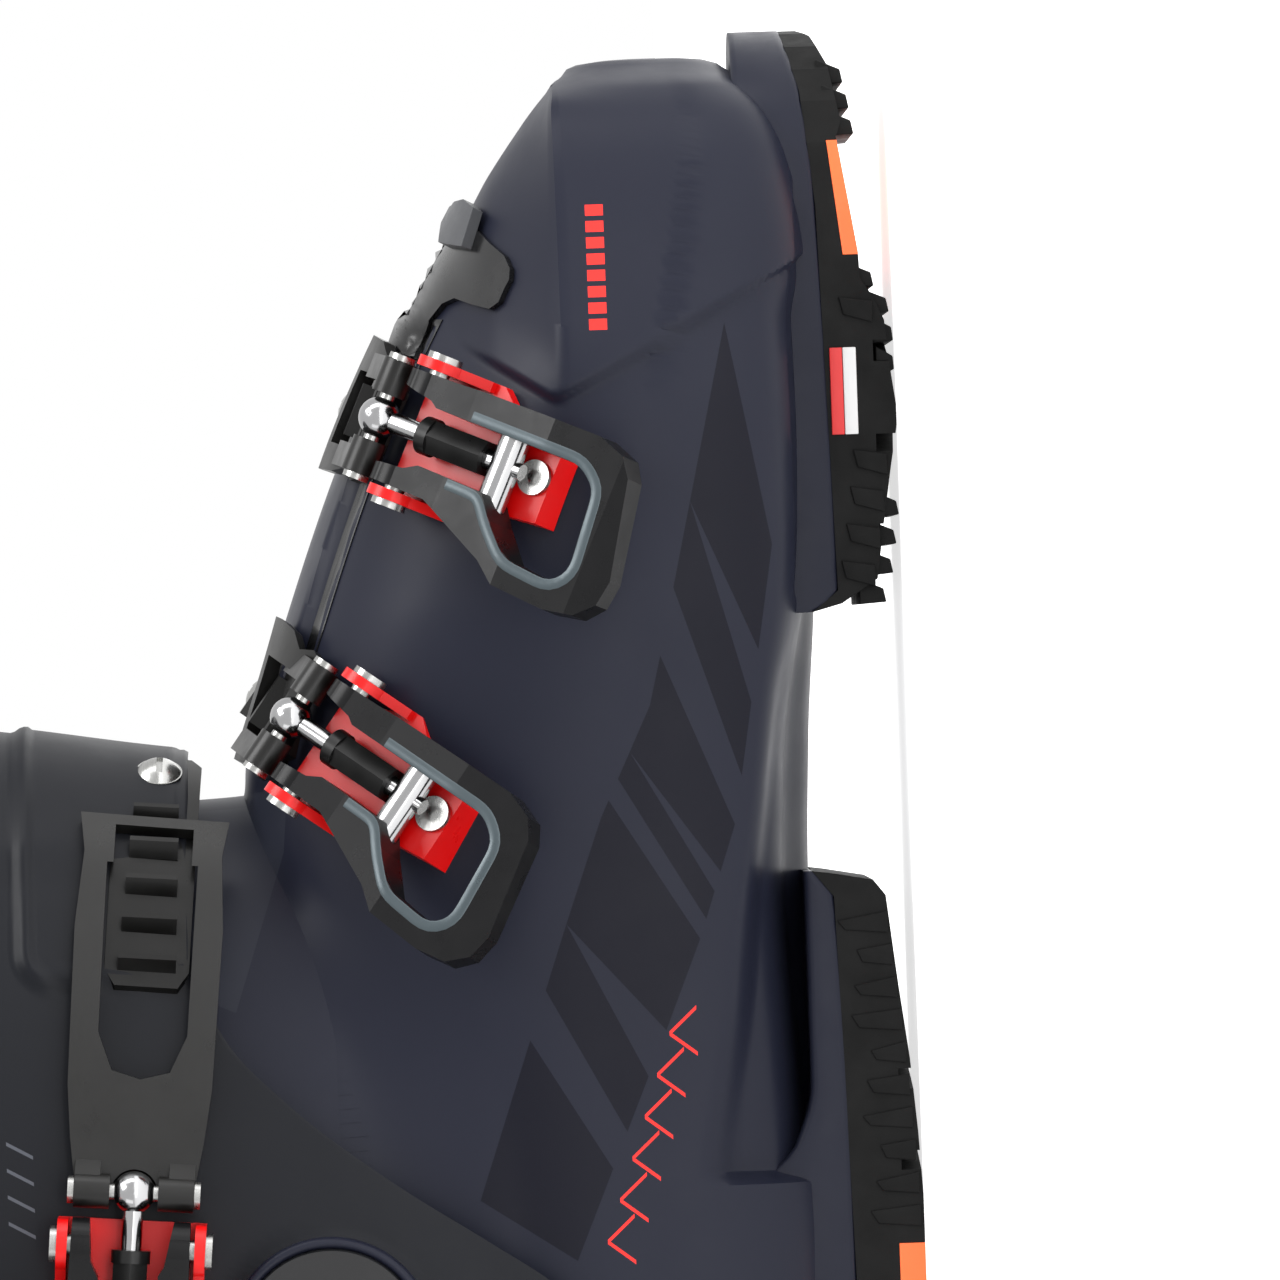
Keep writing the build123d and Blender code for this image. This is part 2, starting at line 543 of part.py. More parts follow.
HOOKS = {"forefoot": 46.0, "instep": 46.0, "lower_cuff": 39.4, "upper_cuff": 38.6}
FOOTS = {"forefoot": 74.0, "instep": 76.0, "lower_cuff": 57.0, "upper_cuff": 52.0}
STEPS = {"forefoot": 9.6, "instep": 10.4, "lower_cuff": 7.2, "upper_cuff": 5.4}

nodes = {
    "lower_shell": lower_shell,
    "boot_board": boot_board,
    "liner_foot": liner_foot,
    "toe_gasket": toe_gasket,
    "gasket_clip": gasket_clip,
    "lap_seal": lap_seal,
    "toe_sole": toe_sole,
    "toe_sole_insert": toe_sole_insert,
    "heel_sole": heel_sole,
    "heel_sole_insert": heel_sole_insert,
    "sole_screws": sole_screws,
    "pivot_bolts": pivot_bolts,
    "cuff_shell": cuff_shell,
    "liner_shaft": liner_shaft,
    "liner_tongue": liner_tongue,
    "power_strap": power_strap,
    "power_strap_buckle": power_strap_buckle,
    "pivot_washers": pivot_washers,
    "spine_blade": spine_blade,
    "spine_bolts": spine_bolts,
}
screws = {"shell": [], "cuff": []}
rivets = {"shell": [], "cuff": []}
for name, buckle in BUCKLES.items():
    on_cuff = name.endswith("cuff")
    bands = cuff_bands if on_cuff else shell_band
    owner = "cuff" if on_cuff else "shell"
    hook, foot, step = HOOKS[name], FOOTS[name], STEPS[name]
    reach = (-26.0, 29.0) if on_cuff else (-24.5, 12.0)
    nodes[name + "_catch"] = catch(buckle, bands, hook, step, 5 if on_cuff else 3, 3 if on_cuff else 1, 8.0, reach, foot)
    screws[owner].append(catch_screw(buckle, foot))
    plate = CUFF_PLATE if on_cuff else SHELL_PLATE
    windows = [CUFF_WINDOW] if on_cuff else []
    nodes[name + "_bail"] = bail(buckle, bands, plate, hook, windows)
    nodes[name + "_buckle_base"] = buckle_base(buckle)
    rivets[owner] += base_rivets(buckle)
    nodes[name + "_lever"] = place(buckle, lever())
    nodes[name + "_lever_pins"] = place(buckle, lever_pins())
    nodes[name + "_rod"] = place(buckle, trunnion_rod())
    nodes[name + "_sleeve"] = place(buckle, sleeve())
    nodes[name + "_bail_pin"] = place(buckle, bail_pin())
for owner in screws:
    nodes[owner + "_catch_screws"] = screws[owner]
    nodes[owner + "_base_rivets"] = rivets[owner]

for name, shape in nodes.items():
    pieces = shape if isinstance(shape, list) else [shape]
    solids = [solid for piece in pieces for solid in piece.solids()]
    print(name, len(solids), round(sum(solid.volume for solid in solids)))
    export_step(solids[0] if len(solids) == 1 else Compound(children=solids), f"parts/{name}.step")
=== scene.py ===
"""Looks for the alpine ski boot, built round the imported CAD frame. Metres, +X toe, +Y inner side, +Z up."""

import json
import math

import bmesh
import bpy
import numpy as np
from mathutils import Matrix, Vector
from mathutils.bvhtree import BVHTree


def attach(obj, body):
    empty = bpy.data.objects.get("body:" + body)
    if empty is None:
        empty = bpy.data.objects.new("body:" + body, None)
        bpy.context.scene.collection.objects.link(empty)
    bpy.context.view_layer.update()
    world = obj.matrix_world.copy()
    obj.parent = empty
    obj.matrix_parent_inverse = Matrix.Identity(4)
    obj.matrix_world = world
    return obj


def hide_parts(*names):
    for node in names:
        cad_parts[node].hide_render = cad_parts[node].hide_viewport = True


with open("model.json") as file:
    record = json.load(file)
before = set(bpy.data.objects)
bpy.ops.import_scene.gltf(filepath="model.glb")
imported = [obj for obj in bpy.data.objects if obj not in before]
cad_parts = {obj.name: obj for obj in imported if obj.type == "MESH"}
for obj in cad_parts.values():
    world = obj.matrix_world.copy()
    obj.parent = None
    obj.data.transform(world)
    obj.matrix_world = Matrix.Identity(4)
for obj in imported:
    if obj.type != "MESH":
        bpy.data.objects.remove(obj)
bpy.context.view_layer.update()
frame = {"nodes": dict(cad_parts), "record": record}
NODES = frame["nodes"]
JOINTS = {j["name"]: j for j in frame["record"]["behaviour"]["joints"]}
MM = 0.001
BUCKLES = ("forefoot", "instep", "lower_cuff", "upper_cuff")


# ------------------------------------------------------------------ small maths
def smooth(low, high, x):
    """0 below low, 1 above high, and a smooth ramp between."""
    t = np.clip((x - low) / (high - low), 0, 1)
    return t * t * (3 - 2 * t)


def curve_through(xs, ys, x):
    """Monotone cubic through the points (xs, ys), held flat beyond its ends."""
    xs, ys = np.asarray(xs, float), np.asarray(ys, float)
    if xs[0] > xs[-1]:
        xs, ys = xs[::-1], ys[::-1]
    h, d = np.diff(xs), np.diff(ys) / np.diff(xs)
    m = np.zeros(len(xs))
    m[0], m[-1] = d[0], d[-1]
    for i in range(1, len(xs) - 1):
        if d[i - 1] * d[i] > 0:
            w1, w2 = 2 * h[i] + h[i - 1], h[i] + 2 * h[i - 1]
            m[i] = (w1 + w2) / (w1 / d[i - 1] + w2 / d[i])
    x = np.clip(np.asarray(x, float), xs[0], xs[-1])
    k = np.clip(np.searchsorted(xs, x) - 1, 0, len(xs) - 2)
    t = (x - xs[k]) / h[k]
    return (ys[k] * (1 + 2 * t) * (1 - t) ** 2 + m[k] * h[k] * t * (1 - t) ** 2
            + ys[k + 1] * t * t * (3 - 2 * t) + m[k + 1] * h[k] * t * t * (t - 1))


def signed(power, value):
    return np.sign(value) * np.abs(value) ** power


def rounded_box(x, z, cx, cz, hx, hz, r):
    """Signed distance to a rounded rectangle, negative inside."""
    dx, dz = np.abs(x - cx) - (hx - r), np.abs(z - cz) - (hz - r)
    return np.hypot(np.maximum(dx, 0), np.maximum(dz, 0)) + np.minimum(np.maximum(dx, dz), 0) - r


def line_side(x, z, a, b):
    """Signed distance from the line a-b, positive on its right-hand side going from a to b."""
    ax, az = a
    dx, dz = b[0] - ax, b[1] - az
    return ((x - ax) * dz - (z - az) * dx) / math.hypot(dx, dz)


# ------------------------------------------------------------------ meshes
def new_mesh(name, verts, faces):
    """A smooth-shaded mesh object from millimetres."""
    mesh = bpy.data.meshes.new(name)
    mesh.from_pydata([tuple(v) for v in np.asarray(verts) * MM], [], faces)
    mesh.validate()
    for p in mesh.polygons:
        p.use_smooth = True
    obj = bpy.data.objects.new(name, mesh)
    bpy.context.scene.collection.objects.link(obj)
    return obj


def closing_rings(ring, scales):
    """Copies of a ring drawn in towards its middle, which close the end of a grid."""
    return [ring.mean(0) + (ring - ring.mean(0)) * scale for scale in scales]


def with_closed_ends(points):
    """A grid of rings with both of its ends closed."""
    first, last = closing_rings(points[0], (0.02, 0.6)), closing_rings(points[-1], (0.6, 0.02))
    return np.concatenate([first, points, last])


def crease(obj, angle):
    """Marks edges sharper than angle so that they shade as edges."""
    obj.data.set_sharp_from_angle(angle=math.radians(angle))


def grid_faces(rows, cols, keep=None):
    """Quads of a grid whose rows are closed rings; keep is a rows-1 by cols mask."""
    faces = []
    for i in range(rows - 1):
        for j in range(cols):
            if keep is None or keep[i, j]:
                k = (j + 1) % cols
                faces.append((i * cols + j, i * cols + k, (i + 1) * cols + k, (i + 1) * cols + j))
    return faces


def grid_object(name, points, keep=None, sharp=None):
    """A mesh from rows of points in millimetres, each row a closed ring."""
    rows, cols = points.shape[:2]
    obj = new_mesh(name, points.reshape(-1, 3), grid_faces(rows, cols, keep))
    tidy_loose(obj)
    if sharp:
        crease(obj, sharp)
    return obj


def tidy_loose(obj):
    """Drops vertices that no face uses, and doubles."""
    bm = bmesh.new()
    bm.from_mesh(obj.data)
    bmesh.ops.delete(bm, geom=[v for v in bm.verts if not v.link_faces], context="VERTS")
    bmesh.ops.remove_doubles(bm, verts=bm.verts, dist=1e-6)
    bm.to_mesh(obj.data)
    bm.free()


def across_prisms(name, parts, bevel=0.25):
    """One mesh of several solids, each an X-Z outline run across from one Y to another."""
    verts, faces = [], []
    for outline, near, far in parts:
        first, n = len(verts), len(outline)
        verts += [(a, near, b) for a, b in outline] + [(a, far, b) for a, b in outline]
        faces += [tuple(range(first, first + n)), tuple(range(first + 2 * n - 1, first + n - 1, -1))]
        faces += [(first + i, first + n + i, first + n + (i + 1) % n, first + (i + 1) % n) for i in range(n)]
    obj = new_mesh(name, verts, faces)
    add_bevel(obj, bevel, 2)
    return obj


def add_bevel(obj, width, segments=3, angle=32):
    mod = obj.modifiers.new("edges", "BEVEL")
    mod.width = width * MM
    mod.segments = segments
    mod.limit_method = "ANGLE"
    mod.angle_limit = math.radians(angle)
    mod.harden_normals = False
    mod.use_clamp_overlap = True


def face_outwards(obj):
    """Turns a shell's faces so that they look away from its middle."""
    mesh = obj.data
    centres = np.array([p.center for p in mesh.polygons])
    normals = np.array([p.normal for p in mesh.polygons])
    areas = np.array([p.area for p in mesh.polygons])[:, None]
    if (areas * normals * (centres - centres.mean(0))).sum() < 0:
        mesh.flip_normals()


def thicken(obj, depth, rim_bevel=0.0):
    """Gives a skin a wall that grows inwards from its outside."""
    face_outwards(obj)
    mod = obj.modifiers.new("wall", "SOLIDIFY")
    mod.thickness = depth * MM
    mod.offset = -1
    mod.use_even_offset = False
    if rim_bevel:
        add_bevel(obj, rim_bevel, 3, 50)


# ------------------------------------------------------------------ materials
SHELL_SPECULAR = 0.16


def node_tree(name):
    mat = bpy.data.materials.new(name)
    mat.use_nodes = True
    tree = mat.node_tree
    return mat, tree, tree.nodes["Principled BSDF"]


def link(tree, a, b):
    tree.links.new(a, b)


def math_node(tree, kind, a, b=None, c=None):
    node = tree.nodes.new("ShaderNodeMath")
    node.operation = kind
    for slot_number, value in enumerate((a, b, c)):
        if value is None:
            continue
        if isinstance(value, (int, float)):
            node.inputs[slot_number].default_value = value
        else:
            link(tree, value, node.inputs[slot_number])
    return node.outputs[0]


def mix_colour(tree, mask, a, b):
    node = tree.nodes.new("ShaderNodeMix")
    node.data_type = "RGBA"
    link(tree, mask, node.inputs["Factor"])
    for key, value in (("A", a), ("B", b)):
        socket = [s for s in node.inputs if s.name == key and s.type == "RGBA"][0]
        if isinstance(value, (tuple, list)):
            socket.default_value = (*value, 1.0) if len(value) == 3 else value
        else:
            link(tree, value, socket)
    return [s for s in node.outputs if s.type == "RGBA"][0]


def noise(tree, scale, detail=3.0, rough=0.5, stretch=None):
    coord = tree.nodes.new("ShaderNodeTexCoord")
    source = coord.outputs["Object"]
    if stretch:
        mapping = tree.nodes.new("ShaderNodeMapping")
        mapping.inputs["Scale"].default_value = stretch
        link(tree, source, mapping.inputs["Vector"])
        source = mapping.outputs[0]
    node = tree.nodes.new("ShaderNodeTexNoise")
    node.inputs["Scale"].default_value = scale
    node.inputs["Detail"].default_value = detail
    node.inputs["Roughness"].default_value = rough
    link(tree, source, node.inputs["Vector"])
    return node.outputs["Fac"]


def ramp(tree, source, low, high):
    node = tree.nodes.new("ShaderNodeMapRange")
    node.inputs["From Min"].default_value = 0.3
    node.inputs["From Max"].default_value = 0.7
    node.inputs["To Min"].default_value = low
    node.inputs["To Max"].default_value = high
    link(tree, source, node.inputs["Value"])
    return node.outputs[0]


def bump(tree, shader, height, strength, distance):
    node = tree.nodes.new("ShaderNodeBump")
    node.inputs["Strength"].default_value = strength
    node.inputs["Distance"].default_value = distance
    link(tree, height, node.inputs["Height"])
    link(tree, node.outputs[0], shader.inputs["Normal"])


def plain(name, colour, rough, metallic=0.0, coat=0.0, grain=900.0, grain_depth=0.02, tone=0.12, spread=0.08,
          stretch=None, specular=0.5):
    """A solid material with fine grain, uneven roughness and a slight change of tone."""
    mat, tree, shader = node_tree(name)
    blotch = noise(tree, 38.0, 4.0)
    dark = tuple(c * (1 - tone) for c in colour)
    light = tuple(min(1.0, c * (1 + tone)) for c in colour)
    link(tree, mix_colour(tree, blotch, dark, light), shader.inputs["Base Color"])
    fine = noise(tree, grain, 2.0, 0.6, stretch)
    link(tree, ramp(tree, noise(tree, 120.0, 5.0, 0.6, stretch), max(0.02, rough - spread), rough + spread),
         shader.inputs["Roughness"])
    bump(tree, shader, fine, 0.35, grain_depth * MM)
    shader.inputs["Metallic"].default_value = metallic
    shader.inputs["Coat Weight"].default_value = coat
    shader.inputs["Coat Roughness"].default_value = 0.12
    shader.inputs["Specular IOR Level"].default_value = specular
    return mat


def woven(name, colour, pitch, depth, rough=0.85):
    """Webbing or fabric: two crossed sets of threads in object space."""
    mat, tree, shader = node_tree(name)
    coord = tree.nodes.new("ShaderNodeTexCoord")
    split = tree.nodes.new("ShaderNodeSeparateXYZ")
    link(tree, coord.outputs["Object"], split.inputs[0])
    around = math_node(tree, "ADD", split.outputs["X"], split.outputs["Y"])
    step = 2 * math.pi / (pitch * MM)
    warp = math_node(tree, "SINE", math_node(tree, "MULTIPLY", around, step))
    weft = math_node(tree, "SINE", math_node(tree, "MULTIPLY", split.outputs["Z"], step))
    cloth = math_node(tree, "MULTIPLY", warp, weft)
    fuzz = noise(tree, 1500.0, 2.0)
    height = math_node(tree, "ADD", math_node(tree, "MULTIPLY", cloth, 0.5), fuzz)
    shade = math_node(tree, "MULTIPLY_ADD", cloth, 0.25, 0.5)
    low = tuple(c * 0.7 for c in colour)
    high = tuple(c * 1.35 for c in colour)
    link(tree, mix_colour(tree, shade, low, high), shader.inputs["Base Color"])
    bump(tree, shader, height, 0.6, depth * MM)
    shader.inputs["Roughness"].default_value = rough
    shader.inputs["Sheen Weight"].default_value = 0.25
    return mat


def inside_polygon(tree, across, up, points):
    """1 inside a convex polygon of (x, z) millimetres given anticlockwise as seen with x right and z up."""
    mask = None
    for (ax, az), (bx, bz) in zip(points, points[1:] + points[:1]):
        nx, nz = -(bz - az), bx - ax
        length = math.hypot(nx, nz)
        nx, nz = nx / length, nz / length
        part = math_node(tree, "MULTIPLY", across, nx)
        part = math_node(tree, "MULTIPLY_ADD", up, nz, part)
        part = math_node(tree, "GREATER_THAN", part, (nx * ax + nz * az) * MM)
        mask = part if mask is None else math_node(tree, "MULTIPLY", mask, part)
    return mask


def printed(name, colour, rough, layers):
    """Moulded plastic with coloured shapes on its outer side: layers are (colour, [polygons]). On the shell
    they are print and one painted highlight, a lighter patch low on the ankle.
    """
    mat, tree, shader = node_tree(name)
    coord = tree.nodes.new("ShaderNodeTexCoord")
    split = tree.nodes.new("ShaderNodeSeparateXYZ")
    link(tree, coord.outputs["Object"], split.inputs[0])
    x, y, z = split.outputs
    blotch = noise(tree, 9.0, 3.0)
    current = mix_colour(tree, blotch, tuple(c * 0.9 for c in colour), tuple(c * 1.12 for c in colour))
    side = math_node(tree, "LESS_THAN", y, -0.012)
    for tint, polygons in layers:
        total = None
        for points in polygons:
            one = inside_polygon(tree, x, z, anticlockwise(points))
            total = one if total is None else math_node(tree, "MAXIMUM", total, one)
        current = mix_colour(tree, math_node(tree, "MULTIPLY", total, side), current, tint)
    link(tree, current, shader.inputs["Base Color"])
    uneven = ramp(tree, noise(tree, 60.0, 5.0, 0.6), rough - 0.04, rough + 0.05)
    link(tree, uneven, shader.inputs["Roughness"])
    bump(tree, shader, noise(tree, 2400.0, 2.0, 0.6), 0.3, 0.012 * MM)
    shader.inputs["Specular IOR Level"].default_value = SHELL_SPECULAR
    return mat


# ------------------------------------------------------------------ the lower shell
SHELL_WALL = 3.6
# Sections of the foot: X, sole Z, top Z, half width on the outer side and on the inner side
STATIONS = np.array([
    (146.5, 31.0, 60.0, 16.0, 16.0), (141.0, 25.0, 64.0, 30.0, 30.0), (128.0, 18.0, 74.0, 41.0, 41.0),
    (108.0, 15.0, 87.5, 48.0, 47.0), (78.0, 15.0, 103.0, 53.0, 51.0), (45.0, 16.0, 115.8, 52.5, 50.0),
    (18.0, 18.0, 124.5, 49.0, 45.5), (-10.0, 19.0, 130.0, 46.0, 43.5), (-45.0, 17.0, 132.0, 44.0, 43.0),
    (-80.0, 15.0, 130.0, 43.0, 42.0), (-112.0, 15.0, 122.0, 40.0, 40.0), (-134.0, 17.0, 112.0, 33.0, 33.0),
    (-146.0, 22.0, 98.0, 18.0, 18.0),
])
# Edge where the side wall turns under, towards the sole: X, Z
TURN_UNDER = [(150, 26), (104, 25.5), (70, 23.4), (51, 23.4), (24, 27.7), (5, 30.3), (-17, 34), (-36, 36.9),
              (-51, 39.9), (-62, 41.8), (-70, 42.3)]
# Sections of the ankle: Z, front X, rear X, half width
TOWER = np.array([(60.0, 20.0, -140.0, 38.0), (100.0, 14.0, -139.0, 41.5), (130.0, 9.5, -134.0, 43.0),
                  (160.0, 8.5, -127.0, 42.5)])
# Height of the crease along the toe, and the X from which the toe is faceted
CREASE_Z = 62.5
FACET_FROM = 84.0
# How the skin closes at the tip and at the heel: scale of the ring and how far it moves along X
TIP_STEPS = ((0.86, 0.7), (0.62, 1.1), (0.34, 1.25), (0.0, 1.3))
HEEL_STEPS = ((0.86, -1.2), (0.62, -2.0), (0.34, -2.4), (0.0, -2.5))
LATERAL_ROWS = 150
CREASE_ROW = 60


def shell_point(x, turn, inset=0.0, detail=True):
    """A point of the shell's outside for X and an angle round the section."""
    low = curve_through(STATIONS[:, 0], STATIONS[:, 1], x) + inset
    high = curve_through(STATIONS[:, 0], STATIONS[:, 2], x) - inset
    outer = curve_through(STATIONS[:, 0], STATIONS[:, 3], x) - inset
    inner = curve_through(STATIONS[:, 0], STATIONS[:, 4], x) - inset
    across, up = np.cos(turn), np.sin(turn)
    middle = low + 0.36 * (high - low)
    half = np.where(across > 0, inner, outer)
    reach = np.where(up > 0, high - middle, middle - low)
    y = half * np.where(up > 0, signed(0.86, across), signed(0.52, across))
    z = middle + reach * np.where(up > 0, signed(0.86, up), signed(0.52, up))
    if not detail:
        return y, z
    share = np.clip((z - CREASE_Z) / np.maximum(high - CREASE_Z, 1.0), 0, 1)
    facet = half * np.where(z < CREASE_Z, 1.0, (1 - 0.62 * share) * np.sqrt(np.clip(1 - share ** 10, 0, 1)))
    wall = np.where(z > middle, np.sign(across) * facet * 0.985, y)
    weight = smooth(FACET_FROM - 8, FACET_FROM + 14, x) * smooth(149, 138, x)
    y = y + (wall - y) * weight
    return y, z


def shell_relief(x, y, z):
    """How far the outer side's details stand proud (mm), from the side view."""
    out = np.zeros_like(x)
    side = smooth(-6, -16, y)
    ahead_upper = line_side(x, z, (83.1, 64.3), (88.8, 73.0))
    ahead_lower = np.where(
        z > 47.3, line_side(x, z, (91.7, 47.3), (83.1, 64.3)), line_side(x, z, (104.6, 24.9), (91.7, 47.3)))
    ahead = np.minimum(ahead_upper, ahead_lower)
    out += 1.5 * smooth(-1.2, 0.1, ahead) * smooth(84, 74, z) * side * smooth(150, 135, x)
    turn = curve_through([p[0] for p in TURN_UNDER], [p[1] for p in TURN_UNDER], x)
    below = turn - z
    arch = smooth(-67.0, -64.0, x) * smooth(106, 96, x)
    deep = 1.6 + 3.2 * smooth(60, 10, x)
    out -= arch * deep * smooth(-0.6, 9.0, below) * np.abs(smooth(0, -20, y))
    out -= 0.9 * smooth(19.6, 18.8, z) * smooth(42, 46, x) * smooth(128, 119, x)
    return out


def ankle_half(x, z):
    """Half width of the ankle part at a place in the side view, 0 where it has none."""
    front = curve_through(TOWER[:, 0], TOWER[:, 1], z)
    rear = curve_through(TOWER[:, 0], TOWER[:, 2], z)
    half = curve_through(TOWER[:, 0], TOWER[:, 3], z)
    ahead = np.clip((x - (front + rear) / 2) / ((front - rear) / 2), -1, 1)
    turn = np.arccos(signed(1 / 0.9, ahead))
    return half * (1 - 0.10 * np.cos(turn)) * np.sin(turn) ** 0.86


def join_ankle(x, y, z):
    """Draws the foot's wall out to the ankle's, with a soft fillet between them."""
    ankle = ankle_half(x, z) - 2.4 * smooth(110, 126, z)
    width = np.abs(y)
    blend = 5.0 * smooth(60, 84, z) * smooth(20, 6, x)
    share = np.clip(0.5 + 0.5 * (width - ankle) / np.maximum(blend, 0.01), 0, 1)
    joined = ankle + (width - ankle) * share + blend * share * (1 - share)
    weight = smooth(62, 80, z) * smooth(18, 4, x) * smooth(-134, -126, x)
    return np.sign(y) * (width + (np.maximum(joined, width) - width) * weight)


def pole_rings(ring, steps):
    """Shrinking copies of an end ring, each pushed along X, which close an end of the skin."""
    rings = []
    for scale, push in steps:
        smaller = ring.mean(0) + (ring - ring.mean(0)) * scale
        smaller[:, 0] = ring[:, 0] + push
        rings.append(smaller)
    return rings


def shell_skin():
    """The foot part of the lower shell, with its facets, recess and seams."""
    toe_xs, foot_xs = np.linspace(146.5, 60, 116), np.linspace(59, -70, 160)
    xs = np.concatenate([toe_xs, foot_xs, np.linspace(-71.5, -146, 60)])
    lateral = np.linspace(0.5 * np.pi, 1.5 * np.pi, LATERAL_ROWS + 1)[:-1]
    medial = np.linspace(-0.5 * np.pi, 0.5 * np.pi, 71)[:-1]
    turn = np.concatenate([lateral, medial])
    grid_x, grid_t = np.meshgrid(xs, turn, indexing="ij")
    low = curve_through(STATIONS[:, 0], STATIONS[:, 1], xs)
    high = curve_through(STATIONS[:, 0], STATIONS[:, 2], xs)
    middle = low + 0.36 * (high - low)
    at_crease = np.pi - np.arcsin(np.clip((CREASE_Z - middle) / (high - middle), 0.02, 0.97) ** (1 / 0.86))
    row = np.arange(LATERAL_ROWS)
    above = np.pi / 2 + (at_crease[:, None] - np.pi / 2) * (row / CREASE_ROW)
    to_sole = 1.5 * np.pi - at_crease[:, None]
    under = at_crease[:, None] + to_sole * (row - CREASE_ROW) / (LATERAL_ROWS - CREASE_ROW)
    grid_t[:, :LATERAL_ROWS] = np.where(row < CREASE_ROW, above, under)
    y, z = shell_point(grid_x, grid_t)
    y = join_ankle(grid_x, y, z)
    points = np.stack([grid_x, y, z], -1)
    du = np.gradient(points, axis=0)
    dv = np.roll(points, -1, 1) - np.roll(points, 1, 1)
    normal = np.cross(du, dv)
    normal /= np.maximum(np.linalg.norm(normal, axis=-1, keepdims=True), 1e-9)
    if (normal[100, 75] * np.array([0, -1, 0])).sum() < 0:
        normal = -normal
    relief = shell_relief(grid_x, y, z)
    top = curve_through(STATIONS[:, 0], STATIONS[:, 2], grid_x)
    lap = top - 4.6 - z
    on_top = (y < 4) & (grid_x > 10) & (grid_x < 101)
    groove = smooth(1.7, 0.9, np.abs(lap)) * smooth(14, 18, grid_x) * smooth(100, 96, grid_x)
    relief = relief - np.where(on_top, 1.8 * groove, 0)
    raised = smooth(-0.6, 0.9, -lap) * smooth(26, 20, y) * smooth(10, 16, grid_x) * smooth(102, 96, grid_x)
    relief = relief + 0.8 * raised
    points = points + normal * relief[..., None]
    tip = pole_rings(points[0], TIP_STEPS)[::-1]
    points = np.concatenate([tip, points, pole_rings(points[-1], HEEL_STEPS)])
    mid = (points[:-1] + points[1:]) / 2
    within = np.minimum(33, ankle_half(mid[..., 0], mid[..., 2]) - 2.2)
    under_leg = (mid[..., 0] < 8) & (mid[..., 0] > -128) & (mid[..., 2] > 96)
    hole = under_leg & (np.abs(mid[..., 1]) < within)
    lid = (mid[..., 0] < 8) & (mid[..., 0] > -130) & (mid[..., 2] > 100)
    hole |= lid & (np.sign(mid[..., 1]) != np.sign(np.roll(mid[..., 1], -1, 1)))
    obj = grid_object("lower_shell_foot", points, keep=~hole, sharp=36)
    thicken(obj, SHELL_WALL)
    return obj


# Sections of the cuff: Z, front X, rear X, half width
LEG = np.array([
    (52.0, 12.0, -152.0, 46.0), (80.0, 13.0, -152.0, 49.5), (113.0, 14.5, -150.5, 51.5),
    (140.0, 17.5, -146.5, 51.5), (172.0, 22.5, -140.0, 51.5), (215.0, 28.0, -128.0, 53.5),
    (260.0, 34.0, -112.0, 57.0),
    (300.0, 38.5, -99.0, 59.5), (322.0, 40.5, -92.0, 60.5), (350.0, 42.5, -84.0, 60.5),
])


def leg_point(table, z, turn, grow=0.0):
    """A point of a level, egg-shaped section at height z."""
    front = curve_through(table[:, 0], table[:, 1], z)
    rear = curve_through(table[:, 0], table[:, 2], z)
    half = curve_through(table[:, 0], table[:, 3], z) + grow
    ahead, across = np.cos(turn), np.sin(turn)
    x = (front + rear) / 2 + ((front - rear) / 2 + grow) * signed(0.9, ahead)
    y = half * (1 - 0.10 * ahead) * signed(0.86, across)
    return x, y


def even_turns(count):
    """Angles that space the points of an egg section nearly evenly, starting at the front."""
    fine = np.linspace(0, 2 * np.pi, 4001)
    x, y = leg_point(LEG, np.full_like(fine, 200.0), fine)
    length = np.concatenate([[0], np.cumsum(np.hypot(np.diff(x), np.diff(y)))])
    return np.interp(np.linspace(0, length[-1], count + 1)[:-1], length, fine)


def tower_skin():
    """The ankle part of the lower shell, open in front for the instep."""
    zs = np.linspace(92, 159.2, 40)
    turn = even_turns(150)
    grid_z, grid_t = np.meshgrid(zs, turn, indexing="ij")
    x, y = leg_point(TOWER, grid_z, grid_t)
    points = np.stack([x, y, grid_z], -1)
    mid = points[:-1]
    line = 128 + (60 - mid[..., 0]) / 86 * 22
    hole = (np.abs(mid[..., 1]) < 25) & (mid[..., 2] > line) & (mid[..., 0] > -40)
    obj = grid_object("lower_shell_ankle", points, keep=~hole)
    thicken(obj, SHELL_WALL)
    return obj


# ------------------------------------------------------------------ the cuff
CUFF_WALL = 4.0
# The cuff's cut lower edge: X, Z
EDGE = [(-170, 57), (-132, 56), (-108, 58.5), (-92, 63), (-84, 70.5), (-76, 82), (-64, 100), (-49, 119),
        (-36, 131), (-22, 137), (60, 137)]
PIVOT = np.array(JOINTS["cuff_flex"]["pos_m"]) / MM
# The flat round the ankle pivot, as a distance from the middle plane, and the rim on it: radius, distance
PIVOT_FACE = 53.9
PIVOT_RIM = ((19.6, 52.0), (19.4, 54.0), (19.0, 54.6), (18.4, 54.75), (17.8, 54.6), (17.4, 54.0),
             (17.2, 52.0))


